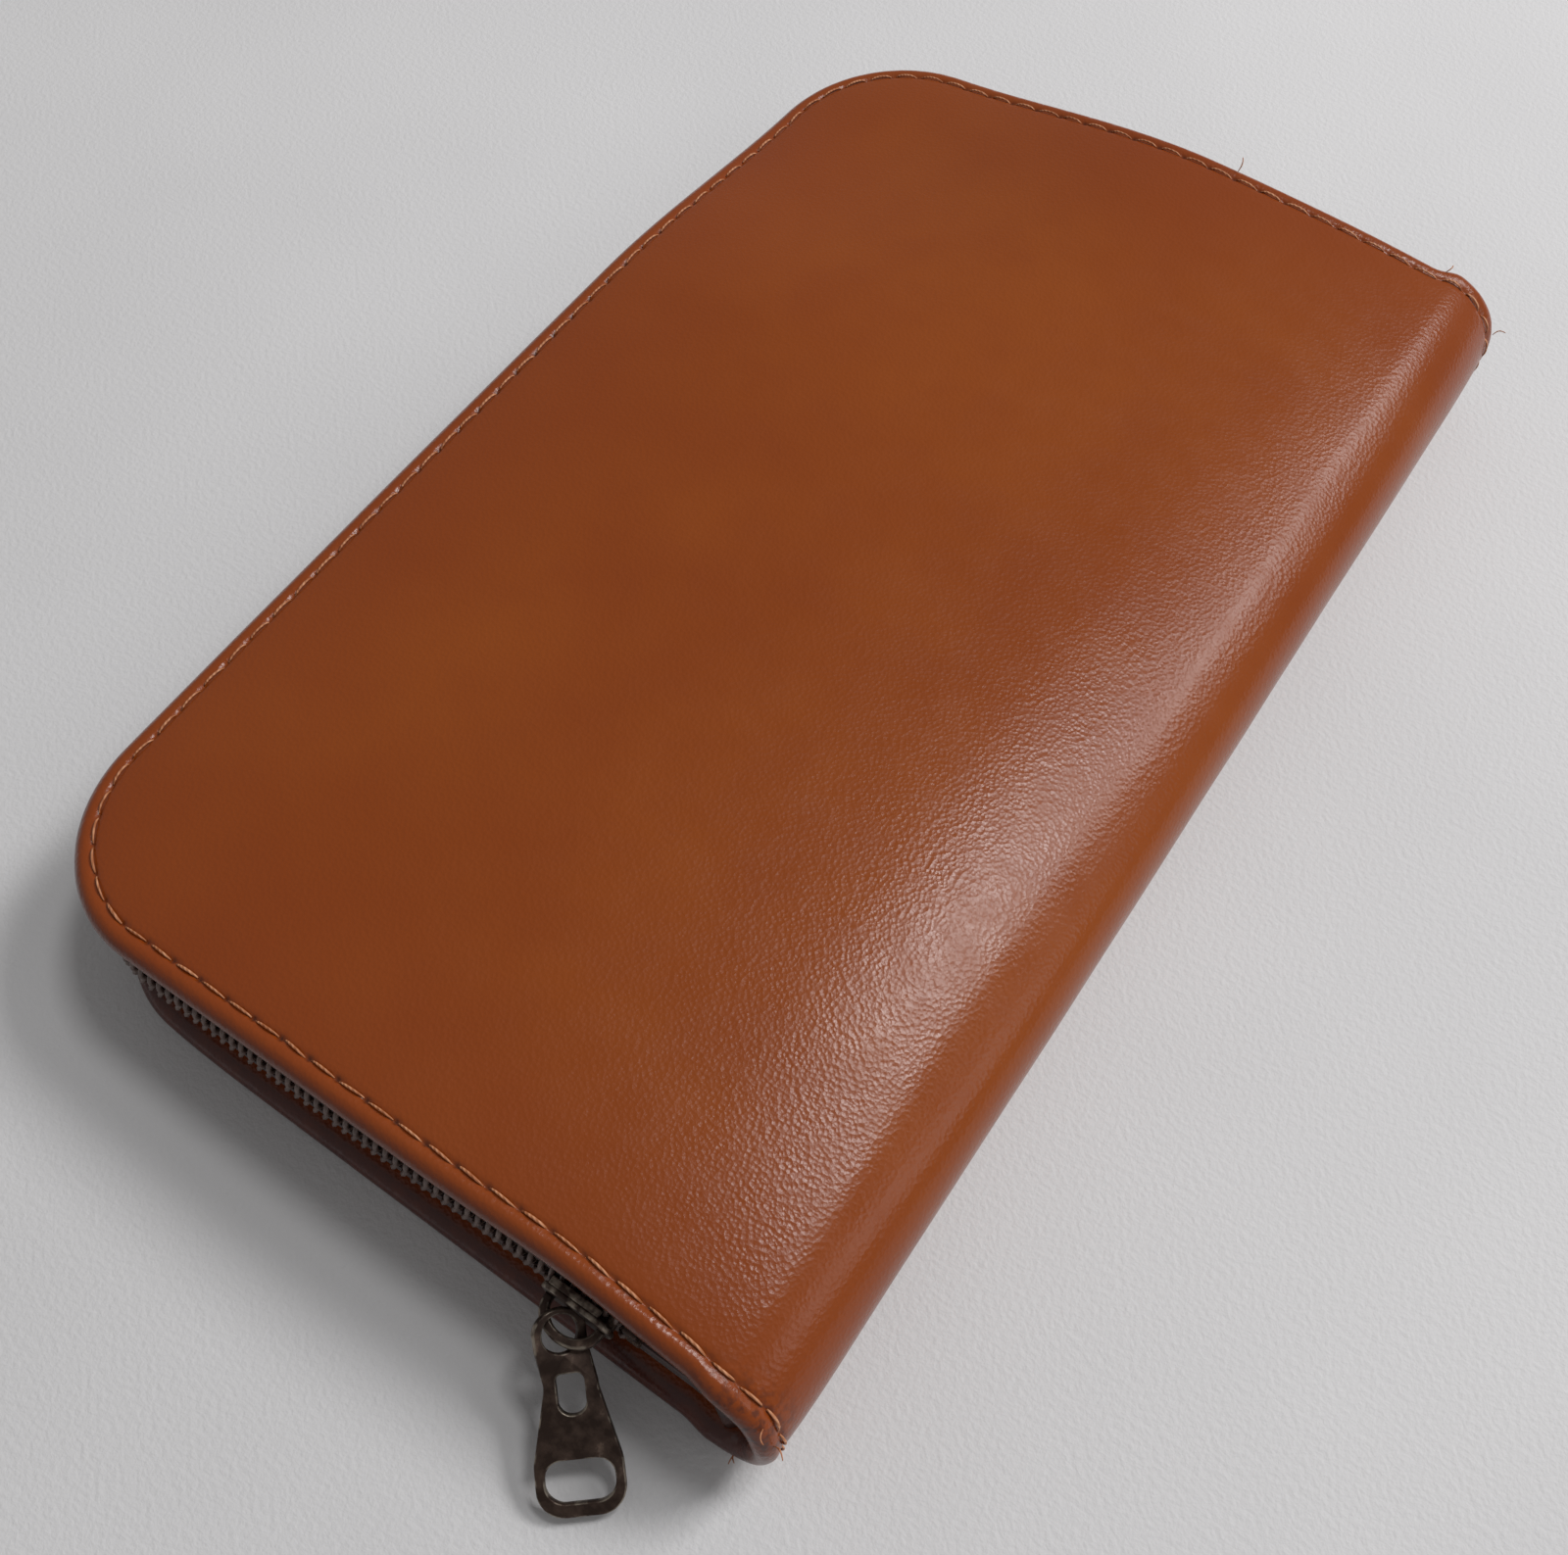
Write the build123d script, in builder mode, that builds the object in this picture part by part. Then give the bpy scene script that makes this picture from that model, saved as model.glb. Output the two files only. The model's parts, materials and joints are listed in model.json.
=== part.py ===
from build123d import *

import os
from math import cos, hypot, pi, radians, sin, sqrt

# Zip-around passport holder, closed and lying flat.  Millimetres, +Z up.
#
# One piece of leather makes the back cover, the rolled spine and the front cover.  X runs from the free
# long edge (-X) to the spine (+X), Y runs along the spine, and the origin is on the underside, in the
# middle of the back cover.  The zip goes round the three free sides; its slider is parked on the -Y side.

os.makedirs("parts", exist_ok=True)

# ---- driving dimensions -------------------------------------------------------------------------
case_width = 110.0          # X, from the free long edge to the outside of the spine
case_length = 181.0         # Y, along the spine
corner_radius = 20.0        # the two free corners, seen from above
spine_radius = 10.0         # outside radius of the rolled spine
crown_rise = 2.0            # how far the front cover's crown stands above the roll
crown_x = -2.0              # where the front cover is highest
fold_angle = 45.0           # the two fold lines, above and below the middle of the roll
fold_gap = 0.3              # slit between the covers and the spine at a fold line
board_stop = 1.0            # the boards end this far before the roll

leather = 1.2               # outer leather
board = 1.4                 # stiffening board inside the leather
hem_leather = 0.8           # edge of the leather, skived thin and turned in
hem_width = 9.0             # how far the turned edge reaches in
ply_gap = 0.05              # play between the layers of a cover
tape = 0.6                  # zip tape
lining = 0.4                # fabric lining
seam_inset = 2.6            # edge stitching, in from the edge of the leather
stitch_pitch = 4.1          # from one stitch to the next
stitch_length = 3.3
thread = 0.6                # thread across
groove_depth = 0.3          # how deep the stitches sink into the leather
thread_proud = 0.1          # how far the front's stitches stand above it
thread_under = 0.02         # how far the back's stitches stay above the underside
seam_beyond_roll = 4.0      # the covers' stitching ends this far past the middle of the roll

zip_inset = 2.6             # middle of the zip tape, in from the edge of the leather
flange_width = 7.0          # the part of the tape that is sewn to the cover
coil_thick = 2.2            # one coil row, across the tape
coil_high = 2.0             # one coil row, along the tape
post_high = 1.2             # the slider's dividing post, between the rows
slider_play = 0.3           # clearance all round the coil and the tape inside the slider
slider_x = 29.0             # middle of the parked slider
slider_length = 9.0
slider_plate = 0.8
slider_corner = 1.6
slider_flange = 0.8
zip_end_x = 44.0            # where the tape ends at the spine
parking_gap = 1.0           # the front row stops this far short of the parked slider
stop_length = 1.8
stop_rounding = 0.3
padding_gap = 0.4           # from the tape's flange to the padding

arch_rise = 2.8             # from the slider's plate to the middle of the bridge
arch_span = 8.6             # outside length of the bridge
arch_width = 1.1
arch_thick = 0.8
arch_corner = 1.9           # outside radius of the bridge's two corners
arch_root = 0.2             # how far the bridge's feet reach into the plate
post_length = 3.2           # of the slider's dividing post

tab_thick = 0.8
tab_width = 9.7             # at the finger opening
tab_neck = 5.9              # across the tab above the slot
tab_length = 18.4           # from the pivot to the tip
eye_radius = 3.0            # outside of the eye
eye_hole = 2.2              # radius of its hole
eye_shift = 0.4             # from the pivot to the middle of the eye
tab_shoulder = 2.6          # from the pivot to where the tab starts to widen
tab_hip = 4.6               # from the tip back to where it is widest
tab_corner = 2.4            # rounding of its corners
slot_length = 4.6           # the narrow slot below the eye
slot_width = 3.0
slot_down = 5.2             # from the pivot to the middle of the slot
finger_width = 7.7          # the finger opening
finger_high = 4.4
finger_corner = 2.0
finger_up = 3.7             # from the tip to the middle of the finger opening
tab_heading = 41.0          # plan direction, from -Y towards +X
tab_pitch = 26.0            # down from level
tab_twist = 24.0            # about its own length

pocket_leather = 0.8        # pocket panels
pocket_room = 0.5           # hollow under a pocket panel
pocket_rim = 3.0            # sewn border of a pocket panel
pocket_inset = 9.0          # pocket panels, in from the edge of the leather
pocket_corner = 3.0         # rounding of a pocket panel's corners
pocket_seam = 1.5           # a pocket's stitching, in from its edge
pocket_thread = 0.2         # height of that stitching
ticket_mouth_x = 41.0       # open edge of the long pocket in the back cover
passport_mouth_x = 28.0     # open edge of the passport sleeve
passport_sleeve_length = 134.0
slip_mouth_x = 41.0         # open edge of the long pocket in the front cover
card_leather = 0.6
card_width = 92.0           # along Y
card_depth = 56.0           # hidden length of a card slot
card_step = 12.0            # from one slot's mouth to the next
card_first_x = 34.0         # mouth of the slot nearest the spine
card_count = 4
card_middle_y = -32.0
gusset = 1.0                # folded leather closing each end of the spine
gusset_reach = 1.0          # the gusset's tip, from the middle of the roll towards the outside

# ---- values worked out from them ----------------------------------------------------------------
half_width = case_width / 2
half_length = case_length / 2
roll_x = half_width - spine_radius
roll_z = spine_radius
zip_z = roll_z
crown_radius = (
    (roll_x - crown_x) ** 2 + (spine_radius + crown_rise) ** 2 - spine_radius ** 2
) / (2 * crown_rise)
crown_z = 2 * spine_radius + crown_rise - crown_radius
roll_from_crown = hypot(roll_x - crown_x, roll_z - crown_z)
meet_x = (roll_x - crown_x) / roll_from_crown
meet_z = (roll_z - crown_z) / roll_from_crown

board_top = leather + ply_gap + board
hem_top = board_top + ply_gap + hem_leather
flange_top = hem_top + tape
lining_top = flange_top + lining
pocket_step = pocket_leather + pocket_room
first_pocket_top = lining_top + pocket_step
second_pocket_top = first_pocket_top + pocket_step
row_inner = post_high / 2 + slider_play
row_outer = row_inner + coil_high
channel_half = coil_thick / 2 + slider_play
tall = 60.0                 # taller than the whole case


# ---- sections of the covers and the spine -------------------------------------------------------
def fold_point(depth, side):
    """Where a layer at this depth meets the slit of a fold line; side is 1 for the front."""
    slit = fold_gap / 2
    reach = sqrt((spine_radius - depth) ** 2 - slit ** 2)
    c, s = cos(radians(fold_angle)), sin(radians(fold_angle))
    return (roll_x + reach * c - slit * s, roll_z + side * (reach * s + slit * c))


def roll_point(depth, angle):
    """A point of the roll at a depth below its outside, at an angle above +X."""
    reach = spine_radius - depth
    return (roll_x + reach * cos(radians(angle)), roll_z + reach * sin(radians(angle)))


def crown_point(depth, x):
    """A point of the front cover at a depth below its outside."""
    return (x, crown_z + sqrt((crown_radius - depth) ** 2 - (x - crown_x) ** 2))


def crown_meet(depth):
    """Where the crown runs into the roll."""
    reach = spine_radius - depth
    return (roll_x + reach * meet_x, roll_z + reach * meet_z)


def cover_outline(inset):
    """Plan of a cover, drawn in from its edge; it runs past the spine, where the section ends it."""
    radius = corner_radius - inset
    left, right, side = inset - half_width, half_width + 5.0, half_length - inset
    diagonal = radius * (1 - sqrt(0.5))
    with BuildLine(mode=Mode.PRIVATE) as edge:
        Line((right, -side), (left + radius, -side))
        ThreePointArc((left + radius, -side), (left + diagonal, diagonal - side), (left, radius - side))
        Line((left, radius - side), (left, side - radius))
        ThreePointArc((left, side - radius), (left + diagonal, side - diagonal), (left + radius, side))
        Line((left + radius, side), (right, side))
        Line((right, side), (right, -side))
    return Face(edge.wires()[0])


def front_slab(top, bottom, inset):
    """The front cover between two depths below its outside, cut to its outline."""
    left = -half_width - 10.0
    with BuildPart(mode=Mode.PRIVATE) as slab:
        with BuildSketch(Plane.XZ):
            with BuildLine():
                for depth in (top, bottom):
                    meet = crown_meet(depth)
                    ThreePointArc(crown_point(depth, left), crown_point(depth, crown_x), meet)
                    ThreePointArc(meet, roll_point(depth, 65), fold_point(depth, 1))
                Line(fold_point(top, 1), fold_point(bottom, 1))
                Line(crown_point(bottom, left), crown_point(top, left))
            make_face()
        extrude(amount=tall * 2, both=True)
        extrude(cover_outline(inset), amount=tall, both=True, mode=Mode.INTERSECT)
    return slab.part


def back_slab(top, bottom, inset):
    """The back cover between two depths above its underside, cut to its outline."""
    left = -half_width - 10.0
    with BuildPart(mode=Mode.PRIVATE) as slab:
        with BuildSketch(Plane.XZ):
            with BuildLine():
                for depth in (top, bottom):
                    Line((left, depth), (roll_x, depth))
                    ThreePointArc((roll_x, depth), roll_point(depth, -70), fold_point(depth, -1))
                Line(fold_point(top, -1), fold_point(bottom, -1))
                Line((left, bottom), (left, top))
            make_face()
        extrude(amount=tall * 2, both=True)
        extrude(cover_outline(inset), amount=tall, both=True, mode=Mode.INTERSECT)
    return slab.part


def spine_slab(top, bottom, inset):
    """The spine between two depths below its outside, shortened by inset at each end."""
    with BuildPart(mode=Mode.PRIVATE) as slab:
        with BuildSketch(Plane.XZ):
            with BuildLine():
                for depth in (top, bottom):
                    mid_high = spine_point(depth, 1)
                    mid_low = spine_point(depth, -1)
                    ThreePointArc(mid_low, roll_point(depth, 0), mid_high)
                Line(spine_point(top, 1), spine_point(bottom, 1))
                Line(spine_point(top, -1), spine_point(bottom, -1))
            make_face()
        extrude(amount=half_length - inset, both=True)
    return slab.part


def spine_point(depth, side):
    """Where a layer of the spine meets the slit of a fold line."""
    slit = fold_gap / 2
    reach = sqrt((spine_radius - depth) ** 2 - slit ** 2)
    c, s = cos(radians(fold_angle)), sin(radians(fold_angle))
    return (roll_x + reach * c + slit * s, roll_z + side * (reach * s - slit * c))


def edge_strip(outer_inset, inner_inset, low_z, high_z, end_x=zip_end_x):
    """An upright strip that follows the three free sides, between two insets and two heights."""
    with BuildPart(mode=Mode.PRIVATE) as strip:
        with BuildSketch(Plane.XY.offset(low_z)):
            add(cover_outline(outer_inset))
            add(cover_outline(inner_inset), mode=Mode.SUBTRACT)
            with Locations((end_x, 0)):
                Rectangle(tall, case_length * 2, align=(Align.MIN, Align.CENTER), mode=Mode.SUBTRACT)
        extrude(amount=high_z - low_z)
    return strip.part


def seam_places(inset, end_x, pitch=stitch_pitch):
    """Evenly spaced places along the three free sides, each with its X along the seam."""
    radius = corner_radius - inset
    left, side = inset - half_width, half_length - inset
    diagonal = radius * (1 - sqrt(0.5))
    with BuildLine(mode=Mode.PRIVATE) as seam:
        Line((end_x, -side), (left + radius, -side))
        ThreePointArc((left + radius, -side), (left + diagonal, diagonal - side), (left, radius - side))
        Line((left, radius - side), (left, side - radius))
        ThreePointArc((left, side - radius), (left + diagonal, side - diagonal), (left + radius, side))
        Line((left + radius, side), (end_x, side))
    path = seam.wires()[0]
    count = round(path.length / pitch)
    places = []
    for number in range(count):
        along = (number + 0.5) / count
        places.append(
            Location(Plane(path.position_at(along), x_dir=path.tangent_at(along), z_dir=(0, 0, 1)))
        )
    return places


def dashes(places, length=stitch_length, width=2.0):
    """Tall blocks, one over each stitch, that cut a line of thread into stitches."""
    with BuildPart(mode=Mode.PRIVATE) as blocks:
        with Locations(*places):
            Box(length, width, tall * 2)
    return blocks.part


# ---- the leather: outside, turned-in hem, room for the board --------------------------------------
stitch_line = (seam_inset - thread / 2, seam_inset + thread / 2)
past_seam = roll_x + seam_beyond_roll + 2.0
front_thread = front_slab(-thread_proud, groove_depth, 0) & edge_strip(*stitch_line, 0, tall, past_seam)
front_groove = front_slab(-1, groove_depth, 0) & edge_strip(*stitch_line, 0, tall, past_seam)
back_thread = back_slab(thread_under, groove_depth, 0) & edge_strip(*stitch_line, -1, tall, past_seam)
back_groove = back_slab(-1, groove_depth, 0) & edge_strip(*stitch_line, -2, tall, past_seam)


def turned_shell(slab):
    """Leather that goes round the edge of its board and lies on it as a thin hem."""
    pocket = slab(leather, board_top + ply_gap, leather)
    window = slab(board_top, hem_top + 1.0, hem_width)
    return slab(0, hem_top, 0) - pocket - window


with BuildPart() as front_leather:
    add(turned_shell(front_slab))
    add(front_groove, mode=Mode.SUBTRACT)
front_leather.part.label = "front_leather"

with BuildPart() as back_leather:
    add(turned_shell(back_slab))
    add(back_groove, mode=Mode.SUBTRACT)
back_leather.part.label = "back_leather"

spine_groove = spine_slab(-1, groove_depth, stitch_line[0]) - spine_slab(-2, 2, stitch_line[1])
with BuildPart() as spine_leather:
    add(turned_shell(spine_slab))
    add(spine_groove, mode=Mode.SUBTRACT)
spine_leather.part.label = "spine_leather"


# ---- boards, padding and lining -------------------------------------------------------------------
def board_slab(slab):
    """Stiffening board, kept off the roll so that the spine can bend."""
    return slab(leather + ply_gap, board_top, leather + ply_gap) & flat_field(roll_x - board_stop)


def padding_slab(slab):
    """Foam that fills the window inside the turned hem, up to the lining."""
    inset = zip_inset + flange_width + padding_gap
    return slab(board_top + ply_gap, flange_top - ply_gap, inset) & flat_field(roll_x - board_stop)


def flat_field(end_x):
    """Everything on the free side of end_x."""
    with BuildPart(mode=Mode.PRIVATE) as field:
        with Locations((end_x, 0, 0)):
            Box(tall * 4, case_length * 2, tall * 2, align=(Align.MAX, Align.CENTER, Align.CENTER))
    return field.part


with BuildPart() as front_board:
    add(board_slab(front_slab))
front_board.part.label = "front_board"

with BuildPart() as back_board:
    add(board_slab(back_slab))
back_board.part.label = "back_board"

with BuildPart() as front_padding:
    add(padding_slab(front_slab))
front_padding.part.label = "front_padding"

with BuildPart() as back_padding:
    add(padding_slab(back_slab))
back_padding.part.label = "back_padding"

with BuildPart() as front_lining:
    add(front_slab(flange_top, lining_top, zip_inset + tape))
front_lining.part.label = "front_lining"

with BuildPart() as back_lining:
    add(back_slab(flange_top, lining_top, zip_inset + tape))
back_lining.part.label = "back_lining"

with BuildPart() as spine_stiffener:
    add(spine_slab(leather + ply_gap, board_top, leather + ply_gap))
spine_stiffener.part.label = "spine_stiffener"

with BuildPart() as spine_lining:
    add(spine_slab(hem_top, hem_top + lining, zip_inset + tape))
spine_lining.part.label = "spine_lining"

inside = hem_top + lining + ply_gap
gusset_tip = (roll_x + gusset_reach, roll_z)
with BuildPart() as spine_gussets:
    for end in (-1, 1):
        with BuildSketch(Plane.XZ.offset(-end * (half_length - zip_inset - 2 * tape))):
            with BuildLine():
                ThreePointArc(spine_point(inside, -1), roll_point(inside, 0), spine_point(inside, 1))
                Line(spine_point(inside, 1), gusset_tip)
                Line(gusset_tip, spine_point(inside, -1))
            make_face()
        extrude(amount=end * gusset)
spine_gussets.part.label = "spine_gussets"

# ---- stitching ------------------------------------------------------------------------------------
with BuildPart() as front_edge_stitching:
    add(front_thread & dashes(seam_places(seam_inset, roll_x + seam_beyond_roll)))
front_edge_stitching.part.label = "front_edge_stitching"

with BuildPart() as back_edge_stitching:
    add(back_thread & dashes(seam_places(seam_inset, roll_x + seam_beyond_roll)))
back_edge_stitching.part.label = "back_edge_stitching"

stitch_turn = stitch_pitch / spine_radius * 180 / pi
half_stitch = stitch_length / spine_radius * 90 / pi
with BuildPart() as spine_stitching:
    for end in (-1, 1):
        for number in (-1, 0, 1):
            angle = number * stitch_turn
            with BuildSketch(Plane.XZ.offset(-end * (half_length - stitch_line[0]))):
                with BuildLine():
                    for depth in (-thread_proud, groove_depth):
                        low = roll_point(depth, angle - half_stitch)
                        high = roll_point(depth, angle + half_stitch)
                        ThreePointArc(low, roll_point(depth, angle), high)
                    for tip in (angle - half_stitch, angle + half_stitch):
                        Line(roll_point(-thread_proud, tip), roll_point(groove_depth, tip))
                make_face()
            extrude(amount=end * thread)
spine_stitching.part.label = "spine_stitching"

# ---- zip ------------------------------------------------------------------------------------------
tape_wall = (zip_inset - tape / 2, zip_inset + tape / 2)
coil_band = (zip_inset - coil_thick / 2, zip_inset + coil_thick / 2)
slider_low_x = slider_x - slider_length / 2
slider_high_x = slider_x + slider_length / 2
slider_half_high = row_outer + slider_play + slider_flange
parked = (slider_low_x - parking_gap, slider_high_x + parking_gap)
near_y = -half_length + zip_inset

with BuildPart() as parking_space:
    with Locations(((parked[0] + parked[1]) / 2, near_y, zip_z)):
        Box(parked[1] - parked[0], 10.0, 2 * (slider_half_high + parking_gap))

near_coil_end = slider_high_x + parking_gap
with BuildPart() as beyond_near_end:
    with Locations((near_coil_end, near_y, zip_z)):
        Box(tall, 12.0, tall, align=(Align.MIN, Align.CENTER, Align.CENTER))

with BuildPart() as back_zip_tape:
    add(edge_strip(*tape_wall, hem_top, zip_z - row_outer))
    add(edge_strip(tape_wall[0], zip_inset + flange_width, hem_top, flange_top))
back_zip_tape.part.label = "back_zip_tape"

with BuildPart() as front_zip_tape:
    add(edge_strip(*tape_wall, zip_z + row_outer, 2 * spine_radius + crown_rise))
    add(front_slab(-tall, hem_top, -5.0), mode=Mode.SUBTRACT)
    add(front_slab(hem_top, flange_top, 0) & edge_strip(tape_wall[0], zip_inset + flange_width, 0, tall))
    add(parking_space.part, mode=Mode.SUBTRACT)
front_zip_tape.part.label = "front_zip_tape"

far_coil_end = zip_end_x - stop_length
with BuildPart() as back_zip_coil:
    add(edge_strip(*coil_band, zip_z - row_outer, zip_z - row_inner, far_coil_end))
    add(beyond_near_end.part, mode=Mode.SUBTRACT)
back_zip_coil.part.label = "back_zip_coil"

with BuildPart() as front_zip_coil:
    add(edge_strip(*coil_band, zip_z + row_inner, zip_z + row_outer, far_coil_end))
    add(beyond_near_end.part, mode=Mode.SUBTRACT)
    add(parking_space.part, mode=Mode.SUBTRACT)
front_zip_coil.part.label = "front_zip_coil"


def zip_stops(side):
    """A metal stop at each end of one coil row; side is 1 for the front."""
    with BuildPart(mode=Mode.PRIVATE) as stops:
        for end, start_x in ((-1, near_coil_end), (1, far_coil_end)):
            middle_y = end * (half_length - zip_inset)
            middle_z = zip_z + side * (row_inner + row_outer) / 2
            with Locations((start_x + stop_length / 2, middle_y, middle_z)):
                Box(stop_length, coil_thick, coil_high)
        fillet(stops.edges(), stop_rounding)
    return stops.part


with BuildPart() as back_zip_stops:
    add(zip_stops(-1))
back_zip_stops.part.label = "back_zip_stops"

with BuildPart() as front_zip_stops:
    add(zip_stops(1))
front_zip_stops.part.label = "front_zip_stops"

# ---- slider and pull tab --------------------------------------------------------------------------
plate_outer = channel_half + slider_plate
plate_y = near_y - plate_outer + arch_root
top_y = near_y - plate_outer - arch_rise - arch_thick / 2
outside = arch_span / 2
inside_corner = arch_corner - arch_thick


def bridge_side(half_span, crest_y, corner):
    """Points of the bridge's outline, foot to foot: feet, ends of the corners, in order along X."""
    left, right = slider_x - half_span, slider_x + half_span
    return [
        (left, plate_y), (left, crest_y + corner), (left + corner, crest_y),
        (right - corner, crest_y), (right, crest_y + corner), (right, plate_y),
    ]


bridge_outside = bridge_side(outside, top_y, arch_corner)
bridge_inside = bridge_side(outside - arch_thick, top_y + arch_thick, inside_corner)
with BuildPart() as slider_body:
    for side in (-1, 1):
        with BuildSketch(Plane.XZ.offset(-(near_y + side * channel_half))):
            with Locations((slider_x, zip_z)):
                RectangleRounded(slider_length, 2 * slider_half_high, slider_corner)
        extrude(amount=-side * slider_plate)
        for edge in (-1, 1):
            flange_z = zip_z + edge * (slider_half_high - slider_flange / 2)
            flange_y = near_y + side * (channel_half + tape / 2 + slider_play) / 2
            with Locations((slider_x, flange_y, flange_z)):
                Box(slider_length - 2 * slider_corner, channel_half - tape / 2 - slider_play, slider_flange)
    with Locations((slider_high_x - post_length / 2, near_y, zip_z)):
        Box(post_length, 2 * channel_half + slider_plate, post_high)
    with BuildSketch(Plane.XY.offset(zip_z - arch_width / 2)):
        with BuildLine():
            for points, corner in ((bridge_outside, arch_corner), (bridge_inside, inside_corner)):
                Line(points[0], points[1])
                RadiusArc(points[1], points[2], -corner)
                Line(points[2], points[3])
                RadiusArc(points[3], points[4], -corner)
                Line(points[4], points[5])
            Line(bridge_outside[0], bridge_inside[0])
            Line(bridge_outside[5], bridge_inside[5])
        make_face()
    extrude(amount=arch_width)
slider_body.part.label = "slider_body"

pivot = Vector(slider_x, near_y - plate_outer - arch_rise, zip_z)
level = Vector(sin(radians(tab_heading)), -cos(radians(tab_heading)), 0)
down_tab = level * cos(radians(tab_pitch)) - Vector(0, 0, 1) * sin(radians(tab_pitch))
across_level = Vector(cos(radians(tab_heading)), sin(radians(tab_heading)), 0)
face_up = down_tab.cross(across_level)
across_tab = across_level * cos(radians(tab_twist)) - face_up * sin(radians(tab_twist))
tab_plane = Plane(pivot, x_dir=across_tab, z_dir=down_tab.cross(across_tab))

tab_outline = [
    (-tab_neck / 2, -tab_shoulder), (-tab_width / 2, tab_hip - tab_length), (-tab_width / 2, -tab_length),
    (tab_width / 2, -tab_length), (tab_width / 2, tab_hip - tab_length), (tab_neck / 2, -tab_shoulder),
]

with BuildPart() as pull_tab:
    with BuildSketch(tab_plane.offset(-tab_thick / 2)):
        with Locations((0, -eye_shift)):
            Circle(eye_radius)
        with BuildLine():
            FilletPolyline(*tab_outline, radius=tab_corner, close=True)
        make_face()
        with Locations((0, -eye_shift)):
            Circle(eye_hole, mode=Mode.SUBTRACT)
        with Locations((0, -slot_down)):
            SlotOverall(slot_length, slot_width, rotation=90, mode=Mode.SUBTRACT)
        with Locations((0, finger_up - tab_length)):
            RectangleRounded(finger_width, finger_high, finger_corner, mode=Mode.SUBTRACT)
    extrude(amount=tab_thick)
pull_tab.part.label = "pull_tab"


# ---- pockets --------------------------------------------------------------------------------------
def pocket_field(start_x, end_x, low_y, high_y):
    """An upright block over one pocket, to cut a panel out of a cover's layer."""
    with BuildPart(mode=Mode.PRIVATE) as field:
        with BuildSketch(Plane.XY.offset(-tall)):
            with Locations(((start_x + end_x) / 2, (low_y + high_y) / 2)):
                RectangleRounded(end_x - start_x, high_y - low_y, pocket_corner)
        extrude(amount=tall * 2)
    return field.part


def pocket_panel(slab, lower, start_x, mouth_x, low_y, high_y):
    """A panel sewn down on three sides, hollow beneath and open at its mouth."""
    panel = slab(lower, lower + pocket_step, 0) & pocket_field(start_x, mouth_x, low_y, high_y)
    room = pocket_field(start_x + pocket_rim, mouth_x + 10.0, low_y + pocket_rim, high_y - pocket_rim)
    return panel - (slab(lower - 1.0, lower + pocket_room, 0) & room)


pocket_left = -half_width + pocket_inset
long_pocket = (pocket_inset - half_length, half_length - pocket_inset)
passport_sleeve = (-passport_sleeve_length / 2, passport_sleeve_length / 2)

with BuildPart() as ticket_pocket:
    add(pocket_panel(back_slab, lining_top, pocket_left, ticket_mouth_x, *long_pocket))
ticket_pocket.part.label = "ticket_pocket"

with BuildPart() as passport_sleeve_panel:
    add(pocket_panel(back_slab, first_pocket_top, pocket_left, passport_mouth_x, *passport_sleeve))
passport_sleeve_panel.part.label = "passport_sleeve"

with BuildPart() as slip_pocket:
    add(pocket_panel(front_slab, lining_top, pocket_left, slip_mouth_x, *long_pocket))
slip_pocket.part.label = "slip_pocket"

card_pocket = (card_middle_y - card_width / 2, card_middle_y + card_width / 2)
card_panels = []
for number in range(card_count):
    mouth_x = card_first_x - number * card_step
    back_x = max(mouth_x - card_depth, pocket_left)
    layer = first_pocket_top + number * card_leather
    place = pocket_field(back_x, mouth_x, *card_pocket)
    with BuildPart() as card_panel:
        add(front_slab(layer, layer + card_leather, 0) & place)
    card_panel.part.label = f"card_slot_{number + 1}"
    card_panels.append(card_panel.part)


def sewn_sides(start_x, mouth_x, low_y, high_y, inset=pocket_seam):
    """Places for the stitches along the three sewn sides of a pocket."""
    side_x, near, far = start_x + inset, low_y + inset, high_y - inset
    places = []
    for x in stitch_row(side_x, mouth_x - 1.0):
        places += [Location((x, near, 0)), Location((x, far, 0))]
    for y in stitch_row(near, far):
        places.append(Location((side_x, y, 0), (0, 0, 90)))
    return places


def stitch_row(start, end):
    """Middles of the stitches between two ends."""
    count = int((end - start) // stitch_pitch)
    spare = (end - start - count * stitch_pitch) / 2
    return [start + spare + (number + 0.5) * stitch_pitch for number in range(count)]


with BuildPart() as back_pocket_stitching:
    add(
        back_slab(second_pocket_top, second_pocket_top + pocket_thread, 0)
        & dashes(sewn_sides(pocket_left, passport_mouth_x, *passport_sleeve), width=thread)
    )
back_pocket_stitching.part.label = "back_pocket_stitching"

last_slot_layer = first_pocket_top + card_count * card_leather
last_mouth = card_first_x - (card_count - 1) * card_step
with BuildPart() as card_slot_stitching:
    add(
        front_slab(last_slot_layer, last_slot_layer + pocket_thread, 0)
        & dashes(sewn_sides(pocket_left, last_mouth, *card_pocket), width=thread)
    )
card_slot_stitching.part.label = "card_slot_stitching"

# ---- files ----------------------------------------------------------------------------------------
for piece in (
    back_leather, back_board, back_padding, back_lining, back_edge_stitching, back_zip_tape, back_zip_coil,
    back_zip_stops, ticket_pocket, passport_sleeve_panel, back_pocket_stitching, spine_leather,
    spine_stiffener, spine_lining, spine_gussets, spine_stitching, front_leather, front_board, front_padding,
    front_lining, front_edge_stitching, front_zip_tape, front_zip_coil, front_zip_stops, slip_pocket,
    card_slot_stitching, slider_body, pull_tab,
):
    export_step(piece.part, f"parts/{piece.part.label}.step")
for panel in card_panels:
    export_step(panel, f"parts/{panel.label}.step")
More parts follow.
